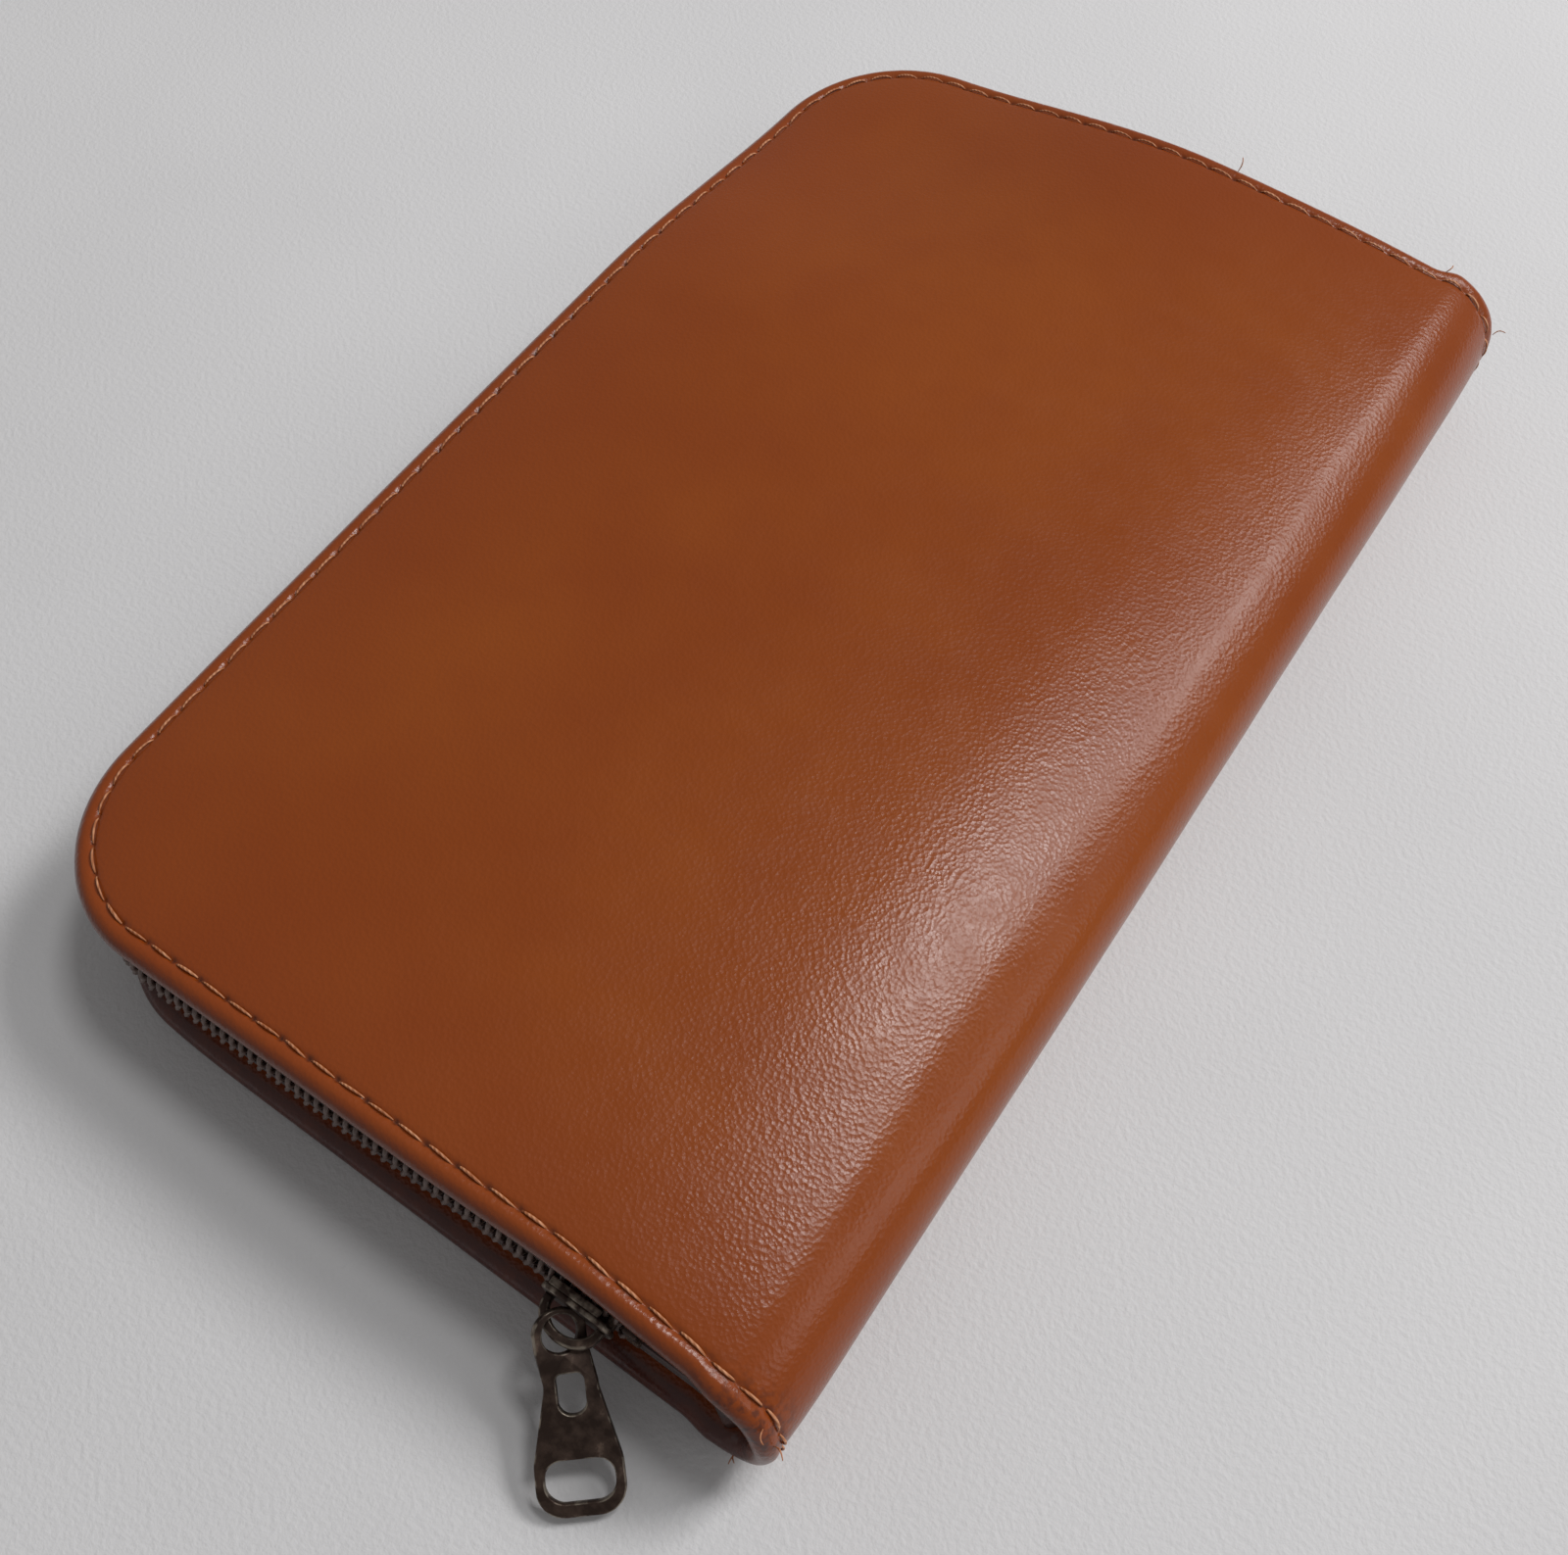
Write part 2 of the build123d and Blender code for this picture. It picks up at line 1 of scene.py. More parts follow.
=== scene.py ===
"""Zip-around passport holder: the looks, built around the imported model.  Metres, +Z up.

X runs from the free long edge to the rolled spine, Y along the spine, and the zip slider is parked on
the -Y side.  The covers' outside is described by an unrolled sheet: u is the distance from the free long
edge, over the cover and round the spine, y is the row's Y, and inset is the distance in from the edge.
"""

import json
import math
import random

import bmesh
import bpy
import numpy as np
from mathutils import Matrix, Vector, noise


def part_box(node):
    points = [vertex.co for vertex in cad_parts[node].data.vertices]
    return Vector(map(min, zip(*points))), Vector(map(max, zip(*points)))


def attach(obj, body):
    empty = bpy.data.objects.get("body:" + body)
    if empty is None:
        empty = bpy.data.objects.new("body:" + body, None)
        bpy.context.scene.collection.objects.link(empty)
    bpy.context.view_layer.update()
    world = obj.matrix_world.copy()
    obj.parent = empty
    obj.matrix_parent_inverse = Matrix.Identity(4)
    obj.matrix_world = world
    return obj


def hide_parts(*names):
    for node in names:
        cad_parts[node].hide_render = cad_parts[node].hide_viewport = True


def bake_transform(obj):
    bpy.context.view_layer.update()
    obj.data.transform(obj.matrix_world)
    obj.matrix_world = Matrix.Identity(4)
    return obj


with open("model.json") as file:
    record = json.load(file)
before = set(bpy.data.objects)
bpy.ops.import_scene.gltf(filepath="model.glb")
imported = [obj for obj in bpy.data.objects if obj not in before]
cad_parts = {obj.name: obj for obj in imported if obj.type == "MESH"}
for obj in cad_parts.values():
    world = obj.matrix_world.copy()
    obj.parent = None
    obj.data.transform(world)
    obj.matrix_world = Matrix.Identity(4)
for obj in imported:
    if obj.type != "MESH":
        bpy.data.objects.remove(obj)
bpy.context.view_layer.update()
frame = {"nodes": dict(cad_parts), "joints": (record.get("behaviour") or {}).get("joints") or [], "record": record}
MM = 0.001

# ---- sizes ----------------------------------------------------------------------------------------
# From the frame.
back_low, back_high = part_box("back_leather")
board_end_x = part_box("back_board")[1].x
front_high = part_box("front_leather")[1]
spine_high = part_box("spine_leather")[1]
joints = {joint["name"]: joint for joint in frame["joints"]}
lower_fold = Vector(joints["spine_fold"]["pos_m"])
upper_fold = Vector(joints["front_fold"]["pos_m"])
pull_pivot = Vector(joints["pull_swing"]["pos_m"])

free_x = back_low.x
half_length = back_high.y
roll_z = (lower_fold.z + upper_fold.z) / 2
roll_radius = roll_z
roll_x = spine_high.x - roll_radius
crown_top = front_high.z
zip_z = roll_z

# Of the leather and the stitching.
crown_x = -2.0 * MM
corner_radius = 20.0 * MM
cover_thick = 3.4 * MM
edge_round = cover_thick / 2
board_inset = 1.25 * MM
board_high, board_low = 1.25 * MM, 2.65 * MM
pad_inset = 10.0 * MM
pad_high = 2.7 * MM         # depth of the foam's outer face
lining_inset = 3.2 * MM
stitch_wide, stitch_high = 0.31 * MM, 0.25 * MM
hem_width = 9.2 * MM
seam_inset = 2.6 * MM
stitch_pitch = 4.1 * MM
zip_inset = 2.6 * MM
lining_low, lining_high = 4.1 * MM, 4.5 * MM
pocket_leather = 0.8 * MM
pocket_step = 1.3 * MM      # depth that one pocket takes, leather and room together
card_leather = 0.6 * MM

# How the soft case has settled.
lean = 0.95 * MM            # its top has slipped this far towards +Y
droop = 4.0 * MM            # the free corner on the +Y side hangs this much lower
lip_pull = 0.45 * MM        # the front's near edge is drawn in, and more so beside the slider
lip_pull_slider = 0.5 * MM
tuck = 2.2 * MM             # the back's near free corner is rounder than the front's
flare = 1.3 * MM            # the spine's far end stands out
bow = 0.5 * MM              # the free long edge bows out
shoulder_dip = 0.9 * MM     # the front falls away this much before it rolls over the spine

crown_radius = (
    (roll_x - crown_x) ** 2 + (crown_top - roll_z) ** 2 - roll_radius ** 2
) / (2 * (crown_top - 2 * roll_radius))
crown_z = crown_top - crown_radius


# ---- small helpers --------------------------------------------------------------------------------
def smooth(low, high, value):
    """0 below low, 1 above high, and a soft step between."""
    t = np.clip((value - low) / (high - low), 0, 1)
    return t * t * (3 - 2 * t)


def settle(points):
    """Points of the closed case, moved as its soft covers have leaned, drooped and bowed."""
    points = np.array(points, float)
    x, y, z = points.T / MM
    far_corner = smooth(8, -38, x) * smooth(25, 75, y)
    slider_side = smooth(-70, -86, y) * smooth(12, 16, z)
    beside_slider = np.exp(-(((x - 27) / 11) ** 2))
    near_corner = np.exp(-(((x + 52) ** 2 + (y + 88) ** 2) / 15 ** 2)) * (1 - smooth(3, 8, z))
    spine_end = smooth(43, 47, x) * (smooth(84, 90, y) - 0.4 * smooth(-84, -90, y))
    points[:, 0] += 0.6 * tuck * near_corner
    points[:, 0] -= bow * np.clip(1 - (y / 75) ** 2, 0, 1) * np.clip(-x / 55, 0, 1) ** 2
    points[:, 1] += lean * (z * MM / zip_z - 1) + 0.8 * tuck * near_corner + flare * spine_end
    points[:, 1] += (lip_pull + lip_pull_slider * beside_slider) * slider_side
    points[:, 2] -= droop * far_corner * np.clip((z - 3.5) / 10.5, 0, 1)
    return points


def make_piece(name, points, faces, material, smooth_shading=True):
    """A mesh object with one material."""
    mesh = bpy.data.meshes.new(name)
    mesh.from_pydata([tuple(p) for p in points], [], [tuple(int(i) for i in f) for f in faces])
    mesh.update()
    piece = bpy.data.objects.new(name, mesh)
    bpy.context.scene.collection.objects.link(piece)
    mesh.materials.append(material)
    mesh.polygons.foreach_set("use_smooth", [smooth_shading] * len(mesh.polygons))
    return piece


def float_attribute(piece, name, values):
    """A named number at each vertex, for the materials."""
    attribute = piece.data.attributes.new(name, "FLOAT", "POINT")
    attribute.data.foreach_set("value", np.asarray(values, np.float32))


def tidy_mesh(piece, weld=1e-7):
    """Welds coinciding vertices and turns the faces outwards."""
    work = bmesh.new()
    work.from_mesh(piece.data)
    bmesh.ops.remove_doubles(work, verts=work.verts, dist=weld)
    bmesh.ops.recalc_face_normals(work, faces=work.faces)
    work.to_mesh(piece.data)
    work.free()
    piece.data.update()


def crease_edges(piece, degrees=35):
    """Smooth shading, with the sharp edges kept sharp."""
    work = bmesh.new()
    work.from_mesh(piece.data)
    for face in work.faces:
        face.smooth = True
    for edge in work.edges:
        if len(edge.link_faces) == 2 and edge.calc_face_angle(0) > math.radians(degrees):
            edge.smooth = False
    work.to_mesh(piece.data)
    work.free()


def thicken(piece, thickness):
    """Gives a piece without thickness one, half to each side."""
    solid = piece.modifiers.new("thickness", "SOLIDIFY")
    solid.thickness = thickness
    solid.offset = 0


def grid_faces(rows, columns, start=0, wrap=False):
    """Quads of a grid whose vertices are stored row by row; wrap closes each row on itself."""
    faces = []
    last = columns if wrap else columns - 1
    for row in range(rows - 1):
        for column in range(last):
            here = start + row * columns
            beside = (column + 1) % columns
            faces.append((here + column, here + beside, here + columns + beside, here + columns + column))
    return faces


# ---- materials ------------------------------------------------------------------------------------
class Nodes:
    """A material's node tree with a few short calls."""

    def __init__(self, name):
        self.material = bpy.data.materials.new(name)
        self.material.use_nodes = True
        self.tree = self.material.node_tree
        self.shader = next(n for n in self.tree.nodes if n.type == "BSDF_PRINCIPLED")
        self.output = next(n for n in self.tree.nodes if n.type == "OUTPUT_MATERIAL")

    def node(self, kind, **values):
        made = self.tree.nodes.new(kind)
        for key, value in values.items():
            if key in made.inputs:
                made.inputs[key].default_value = value
            else:
                setattr(made, key, value)
        return made

    def link(self, source, target):
        self.tree.links.new(source, target)

    def coordinates(self):
        return self.node("ShaderNodeTexCoord").outputs["Object"]

    def noise(self, scale, detail=3.0, roughness=0.55, where=None):
        made = self.node("ShaderNodeTexNoise", Scale=scale, Detail=detail, Roughness=roughness)
        self.link(where or self.coordinates(), made.inputs["Vector"])
        return made.outputs["Fac"]

    def voronoi(self, scale, feature="F1", where=None):
        made = self.node("ShaderNodeTexVoronoi", feature=feature)
        made.inputs["Scale"].default_value = scale
        self.link(where or self.coordinates(), made.inputs["Vector"])
        return made.outputs["Distance"]

    def attribute(self, name):
        return self.node("ShaderNodeAttribute", attribute_name=name).outputs["Fac"]

    def math(self, operation, first, second=0.0, clamp=False):
        made = self.node("ShaderNodeMath", operation=operation, use_clamp=clamp)
        for socket, value in zip(made.inputs, (first, second)):
            if hasattr(value, "is_linked"):
                self.link(value, socket)
            else:
                socket.default_value = value
        return made.outputs["Value"]

    def range(self, value, from_low, from_high, to_low=0.0, to_high=1.0):
        made = self.node("ShaderNodeMapRange")
        made.inputs["From Min"].default_value = from_low
        made.inputs["From Max"].default_value = from_high
        made.inputs["To Min"].default_value = to_low
        made.inputs["To Max"].default_value = to_high
        self.link(value, made.inputs["Value"])
        return made.outputs["Result"]

    def mix(self, share, first, second):
        made = self.node("ShaderNodeMix", data_type="RGBA")
        colours = [socket for socket in made.inputs if socket.type == "RGBA"]
        for socket, value in zip(colours, (first, second)):
            if hasattr(value, "is_linked"):
                self.link(value, socket)
            else:
                socket.default_value = (*value, 1.0)
        factor = made.inputs["Factor"]
        if hasattr(share, "is_linked"):
            self.link(share, factor)
        else:
            factor.default_value = share
        return next(socket for socket in made.outputs if socket.type == "RGBA")

    def bump(self, height, strength, distance, normal=None):
        made = self.node("ShaderNodeBump", Strength=strength, Distance=distance)
        self.link(height, made.inputs["Height"])
        if normal is not None:
            self.link(normal, made.inputs["Normal"])
        return made.outputs["Normal"]

    def set(self, **values):
        """Sets the shader's sockets; underscores in a name stand for spaces."""
        for key, value in values.items():
            socket = self.shader.inputs[key.replace("_", " ")]
            if hasattr(value, "is_linked"):
                self.link(value, socket)
            elif socket.type == "RGBA":
                socket.default_value = (*value, 1.0)
            else:
                socket.default_value = value


def outer_leather():
    """Glazed tan leather: mottled colour, redder at the rim, painted shade on the rolled edges and in the stitch
    holes, fine pebbled grain.
    """
    n = Nodes("tan_leather")
    broad = n.noise(28.0, 2.0)
    middle = n.noise(160.0, 4.0)
    base = n.mix(n.range(broad, 0.35, 0.68), (0.222, 0.043, 0.0030), (0.250, 0.054, 0.0045))
    base = n.mix(n.range(middle, 0.4, 0.75, 0.0, 0.25), base, (0.195, 0.034, 0.0030))
    rim = n.math("ADD", n.attribute("inset"), n.math("MULTIPLY", middle, 0.010))
    base = n.mix(n.range(rim, 0.004, 0.030, 0.40, 0.0), base, (0.190, 0.031, 0.0060))
    # Painted shade: the leather darkens in each stitch hole.
    base = n.mix(n.range(n.attribute("painted_hole_shade"), 0.15, 0.8, 0.0, 0.75), base, (0.045, 0.012, 0.006))
    # Painted shade: each cover's rolled edge is darkened, the front's down its underside and the back's along its
    # outer rim.
    painted_edge_shade = n.math("MULTIPLY", n.attribute("painted_edge_shade"), n.range(n.noise(300.0), 0.25, 0.6, 0.75, 1.0))
    base = n.mix(painted_edge_shade, base, (0.070, 0.020, 0.016))
    scuff = n.math("MULTIPLY", n.attribute("wear"), n.range(n.noise(900.0, 4.0), 0.46, 0.60))
    base = n.mix(scuff, base, (0.050, 0.016, 0.012))
    n.set(Base_Color=base)
    pores = n.math("ADD", n.voronoi(1900.0), n.math("MULTIPLY", n.noise(3400.0, 2.0), 0.5))
    normal = n.bump(n.noise(620.0, 3.0), 0.010, 0.0006)
    normal = n.bump(pores, 0.30, 0.00011, normal)
    rough = n.range(n.noise(240.0, 3.0), 0.3, 0.7, 0.22, 0.29)
    n.set(Normal=normal, Roughness=rough, Specular_IOR_Level=0.42)
    return n.material


def inner_leather():
    """Softer brown leather of the pockets."""
    n = Nodes("pocket_leather")
    base = n.mix(n.range(n.noise(60.0, 3.0), 0.3, 0.7), (0.17, 0.045, 0.013), (0.22, 0.062, 0.018))
    n.set(Base_Color=base, Roughness=n.range(n.noise(300.0), 0.3, 0.7, 0.45, 0.58))
    cells = n.voronoi(1100.0)
    n.set(Normal=n.bump(cells, 0.25, 0.0002))
    return n.material


def dark_leather():
    """The folded leather at the spine's ends, dark with handling."""
    n = Nodes("gusset_leather")
    base = n.mix(n.range(n.noise(350.0, 4.0), 0.35, 0.7), (0.030, 0.010, 0.008), (0.075, 0.026, 0.018))
    n.set(Base_Color=base, Roughness=0.5)
    n.set(Normal=n.bump(n.noise(1500.0, 4.0), 0.5, 0.0004))
    return n.material


def woven(name, dark, light, threads, roughness=0.85, strength=0.5):
    """A plain weave with its threads along the piece's own axes."""
    n = Nodes(name)
    where = n.coordinates()
    waves = []
    for axis in ("X", "Y"):
        wave = n.node("ShaderNodeTexWave", bands_direction=axis, wave_profile="SIN")
        wave.inputs["Scale"].default_value = threads
        wave.inputs["Distortion"].default_value = 0.6
        wave.inputs["Detail Scale"].default_value = 3.0
        n.link(where, wave.inputs["Vector"])
        waves.append(wave.outputs["Fac"])
    weave = n.math("MAXIMUM", waves[0], waves[1])
    colour = n.mix(weave, dark, light)
    colour = n.mix(n.range(n.noise(500.0, 4.0), 0.35, 0.7, 0.0, 0.35), colour, dark)
    n.set(Base_Color=colour, Roughness=roughness, Normal=n.bump(weave, strength, 0.00012))
    n.set(Sheen_Weight=0.15)
    return n.material


def thread_material():
    """Light waxed thread, its strands twisted."""
    n = Nodes("thread")
    where = n.coordinates()
    twist = n.node("ShaderNodeTexWave", bands_direction="DIAGONAL", wave_profile="SIN")
    twist.inputs["Scale"].default_value = 900.0
    twist.inputs["Distortion"].default_value = 1.0
    n.link(where, twist.inputs["Vector"])
    strands = twist.outputs["Fac"]
    base = n.mix(strands, (0.40, 0.155, 0.065), (0.60, 0.29, 0.155))
    base = n.mix(n.range(n.noise(700.0, 3.0), 0.42, 0.68, 0.0, 0.75), base, (0.28, 0.075, 0.018))
    n.set(Base_Color=base, Roughness=0.55, Normal=n.bump(strands, 0.4, 0.0001))
    return n.material


def nylon_material():
    """The zip's nylon coil, grey-brown and slightly shiny."""
    n = Nodes("zip_nylon")
    base = n.mix(n.range(n.noise(400.0, 3.0), 0.3, 0.7), (0.105, 0.066, 0.054), (0.18, 0.12, 0.10))
    n.set(Base_Color=base, Roughness=0.38, Normal=n.bump(n.noise(2500.0), 0.2, 0.0001))
    return n.material


def antique_metal():
    """Dark antique bronze: brown patina, lighter blotches, and bare metal on the worn edges."""
    n = Nodes("antique_metal")
    blotch = n.noise(420.0, 5.0, 0.6)
    fine = n.noise(2600.0, 4.0)
    patina = n.mix(n.range(blotch, 0.42, 0.60), (0.040, 0.024, 0.018), (0.085, 0.055, 0.042))
    patina = n.mix(n.range(blotch, 0.60, 0.74), patina, (0.24, 0.17, 0.13))
    worn = n.math("MULTIPLY", n.attribute("edge"), n.range(n.noise(600.0, 3.0), 0.45, 0.62), clamp=True)
    base = n.mix(worn, patina, (0.36, 0.31, 0.25))
    n.set(Base_Color=base, Metallic=n.range(worn, 0.0, 1.0, 0.7, 1.0))
    rough = n.range(n.math("ADD", blotch, n.math("MULTIPLY", fine, 0.3)), 0.4, 0.9, 0.32, 0.58)
    n.set(Roughness=rough, Normal=n.bump(fine, 0.25, 0.0001))
    return n.material


def plain_material(name, dark, light, scale, roughness, strength=0.3):
    """Board and foam, seen only where the case is cut open."""
    n = Nodes(name)
    base = n.mix(n.range(n.noise(scale, 4.0), 0.35, 0.65), dark, light)
    n.set(Base_Color=base, Roughness=roughness, Normal=n.bump(n.noise(scale * 6), strength, 0.0002))
    return n.material


tan = outer_leather()
pocket_tan = inner_leather()
gusset_brown = dark_leather()
thread = thread_material()
nylon = nylon_material()
metal = antique_metal()
tape_cloth = woven("zip_tape_cloth", (0.022, 0.010, 0.009), (0.070, 0.032, 0.028), 620.0)
lining_cloth = woven("lining_cloth", (0.035, 0.018, 0.011), (0.085, 0.045, 0.028), 480.0)
board_grey = plain_material("stiff_board", (0.22, 0.18, 0.13), (0.30, 0.25, 0.19), 300.0, 0.9)
foam = plain_material("foam", (0.55, 0.50, 0.42), (0.66, 0.61, 0.53), 900.0, 0.95)


# ---- the case's outside as an unrolled sheet ------------------------------------------------------
crown_start = math.asin((free_x - crown_x) / crown_radius)
crown_end = math.atan2(roll_x - crown_x, roll_z - crown_z)
crown_length = crown_radius * (crown_end - crown_start)
split_turn = math.radians(25)   # the two covers' skins meet this far below the middle of the spine


def front_dip(u, y):
    """How far the front falls below the plain crown near the spine, least at the spine's two ends."""
    shoulder = crown_length
    before = np.clip((u - (shoulder - 16 * MM)) / (16 * MM), 0, 1) ** 2
    slope = 2 * shoulder_dip / 16
    past = np.clip((u - shoulder) / MM, 0, 12)
    rise = np.where(past < 3, slope * (past - past ** 2 / 6), slope * 1.5)
    dip = shoulder_dip * before + rise
    return dip * (1 - smooth(3, 11, past)) * (0.25 + 0.75 * smooth(86, 45, np.abs(y) / MM))


def front_profile(u):
    """Points and outward normals of the front cover's outside, over the crown and down the spine."""
    u = np.asarray(u, float)
    over = u < crown_length
    turn = np.where(over, crown_start + u / crown_radius, crown_end + (u - crown_length) / roll_radius)
    radius = np.where(over, crown_radius, roll_radius)
    middle_x = np.where(over, crown_x, roll_x)
    middle_z = np.where(over, crown_z, roll_z)
    normal_x, normal_z = np.sin(turn), np.cos(turn)
    return middle_x + radius * normal_x, middle_z + radius * normal_z, normal_x, normal_z


def back_profile(u):
    """Points and outward normals of the back cover's outside, along the floor and up the spine."""
    u = np.asarray(u, float)
    flat = roll_x - free_x
    turn = np.maximum(u - flat, 0) / roll_radius
    normal_x, normal_z = np.sin(turn), -np.cos(turn)
    x = np.where(u < flat, free_x + u, roll_x + roll_radius * normal_x)
    return x, roll_z + roll_radius * normal_z, normal_x, normal_z


front_end = crown_length + roll_radius * (math.pi / 2 - crown_end + split_turn)
back_end = (roll_x - free_x) + roll_radius * (math.pi / 2 - split_turn)


def round_corner(turn, inset, far=False):
    """u and y on a cover's rounded corner; turn runs from 0 to a quarter turn along the edge."""
    radius = corner_radius - inset
    across, up = radius * math.sin(turn), radius * math.cos(turn)
    if far:
        return corner_radius - up, half_length - corner_radius + across
    return corner_radius - across, corner_radius - half_length - up


class Sheet:
    """One cover's unrolled sheet: where its edge runs and how its surface lies."""

    def __init__(self, profile, end, upper):
        self.profile = profile
        self.end = end
        self.upper = upper

    def path_length(self, inset):
        """Length of the line that runs round the three free sides at an inset."""
        return 2 * (self.end - corner_radius) + self.arc(inset) * 2 + 2 * (half_length - corner_radius)

    def arc(self, inset):
        return (corner_radius - inset) * math.pi / 2

    def on_path(self, along, inset, offset=0.0):
        """u and y at a distance along that line, moved inwards by offset."""
        straight, arc, side = self.end - corner_radius, self.arc(inset), 2 * (half_length - corner_radius)
        if along < straight:
            return self.end - along, inset + offset - half_length
        along -= straight
        if along < arc:
            return round_corner(math.pi / 2 * along / arc, inset + offset)
        along -= arc
        if along < side:
            return inset + offset, corner_radius - half_length + along
        along -= side
        if along < arc:
            return round_corner(math.pi / 2 * along / arc, inset + offset, far=True)
        along -= arc
        return corner_radius + along, half_length - inset - offset

    def place(self, u, y, depth):
        """Points of the sheet at a depth below its outside, before the case settles."""
        x, z, normal_x, normal_z = self.profile(u)
        if self.upper:
            depth = depth + front_dip(u, y)
        return np.stack([x - depth * normal_x, np.asarray(y, float), z - depth * normal_z], axis=1)


front_sheet = Sheet(front_profile, front_end, True)
back_sheet = Sheet(back_profile, back_end, False)


def undulation(points):
    """Slow unevenness of the leather over the board, as a depth; what lies on the table stays above it."""
    depths = np.empty(len(points))
    for number, (x, y, z) in enumerate(points):
        slow = noise.noise(Vector((x, y, z)) / (38 * MM))
        quick = noise.noise(Vector((x + 1, y, z)) / (13 * MM))
        depths[number] = (0.18 * slow + 0.05 * quick + (0.22 if z < 0.5 * MM else 0)) * MM
    return depths


def seam_relief(inset, along):
    """Depth of the stitched groove and the holes, and the pillow of leather either side of it, with how much
    painted shade darkens each hole.
    """
    phase = 2 * np.pi * along / stitch_pitch
    at_hole = np.maximum(np.cos(phase), 0) ** 6
    groove = np.exp(-((inset - seam_inset) / (0.36 * MM)) ** 2)
    pillow = 0.30 * np.exp(-np.maximum(inset - seam_inset, 0) / (3.0 * MM)) * smooth(0, seam_inset, inset)
    rim = 0.34 * np.exp(-(inset / (1.5 * MM)) ** 2)
    puff = -0.10 * np.exp(-((inset - 1.3 * MM) / (0.6 * MM)) ** 2) * (1 - 0.6 * at_hole)
    depth = (0.13 + 0.40 * at_hole) * groove + pillow + rim + puff
    # Painted shade in the holes: how strongly each hole's leather is darkened.
    painted_hole_shade = at_hole ** 2 * np.exp(-((inset - seam_inset) / (0.38 * MM)) ** 2)
    return depth * MM, painted_hole_shade


def spread(start, end, step):
    """Evenly spaced values from start to end, about step apart."""
    return np.linspace(start, end, max(2, int(round(abs(end - start) / step)) + 1))


def cover_skin(name, sheet, material):
    """The outer leather of one cover: domed top, stitched rim, rolled edge and turned-in hem."""
    step = stitch_pitch / 6
    fine_zone = 3 * MM
    u_coarse = spread(corner_radius, sheet.end - fine_zone, step)
    u_values = np.concatenate([u_coarse, spread(sheet.end - fine_zone, sheet.end, 0.25 * MM)[1:]])
    y_values = spread(corner_radius - half_length, half_length - corner_radius, step)
    corner_steps = int(round((corner_radius - seam_inset) * math.pi / 2 / step))
    turns = np.linspace(0, math.pi / 2, corner_steps + 1)[1:-1]

    stations = [("near", u) for u in u_values[::-1]]
    stations += [("near_corner", turn) for turn in turns]
    stations += [("side", y) for y in y_values]
    stations += [("far_corner", turn) for turn in turns]
    stations += [("far", u) for u in u_values]

    def domain(station, inset):
        kind, value = station
        if kind == "near":
            return value, inset - half_length
        if kind == "far":
            return value, half_length - inset
        if kind == "side":
            return inset, value
        return round_corner(value, inset, far=kind == "far_corner")

    seam_points = np.array([domain(s, seam_inset) for s in stations])
    steps = np.hypot(*np.diff(seam_points, axis=0).T)
    along = np.concatenate([[0], np.cumsum(steps)])
    pitches = round(along[-1] / stitch_pitch)
    along = along * (pitches * stitch_pitch / along[-1])

    top = [20, 17.5, 15, 13, 11.3, 9.8, 8.5, 7.4, 6.5, 5.8, 5.2, 4.7, 4.3, 3.95, 3.65, 3.4, 3.2, 3.0,
           2.85, 2.7, 2.6, 2.5, 2.35, 2.2, 2.05, 1.9, 1.8, 1.7]
    rounding = np.linspace(0, math.pi, 17)[1:]
    hem = [2.4, 3.2, 4.4, 6.0, 7.6, 8.8]
    loops = [(inset * MM, 0.0) for inset in top]
    loops += [(edge_round * (1 - math.sin(t)), edge_round * (1 - math.cos(t))) for t in rounding]
    loops += [(inset * MM, cover_thick) for inset in hem]
    loops += [(hem_width, cover_thick - 0.1 * MM), (hem_width, cover_thick - 0.8 * MM)]

    points, insets, painted_edge_shades, painted_hole_shades = [], [], [], []
    for inset, depth in loops:
        spots = np.array([domain(s, inset) for s in stations])
        relief, painted_hole_shade = seam_relief(np.full(len(stations), inset), along)
        share = max(0.0, 1 - depth / edge_round)
        flat = sheet.place(spots[:, 0], spots[:, 1], np.zeros(len(spots)))
        wave = undulation(flat)
        points.append(sheet.place(spots[:, 0], spots[:, 1], depth + relief * share + wave * share))
        insets.append(np.full(len(stations), inset if depth <= edge_round else 0.0))
        # Painted shade on the rolled edge: on the front it grows down the rounding, on the back it lies along the
        # outer rim.
        edge = smooth(0.0, 0.7, depth / MM) if sheet.upper else smooth(2.3, 1.3, inset / MM)
        painted_edge_shades.append(np.full(len(stations), (0.55 if sheet.upper and depth < cover_thick else 1.0) * edge))
        # Painted shade in the stitch holes, on the outside only.
        painted_hole_shades.append(painted_hole_shade * (depth == 0))
    faces = grid_faces(len(loops), len(stations))
    points = np.concatenate(points)

    grid_u, grid_y = np.meshgrid(u_values, y_values, indexing="ij")
    grid_u, grid_y = grid_u.ravel(), grid_y.ravel()
    flat = sheet.place(grid_u, grid_y, np.zeros(len(grid_u)))
    rim_depth = seam_relief(np.full(1, corner_radius), np.zeros(1))[0][0]
    inner = sheet.place(grid_u, grid_y, rim_depth + undulation(flat))
    faces += grid_faces(len(u_values), len(y_values), start=len(points))
    points = settle(np.concatenate([points, inner]))
    distance = np.minimum(np.minimum(grid_u, half_length - np.abs(grid_y)), 60 * MM)
    insets = np.concatenate(insets + [distance])
    painted_hole_shades = np.concatenate(painted_hole_shades + [np.zeros(len(inner))])
    painted_edge_shades = np.concatenate(painted_edge_shades + [np.zeros(len(inner))])

    piece = make_piece(name, points, faces, material)
    float_attribute(piece, "inset", insets)
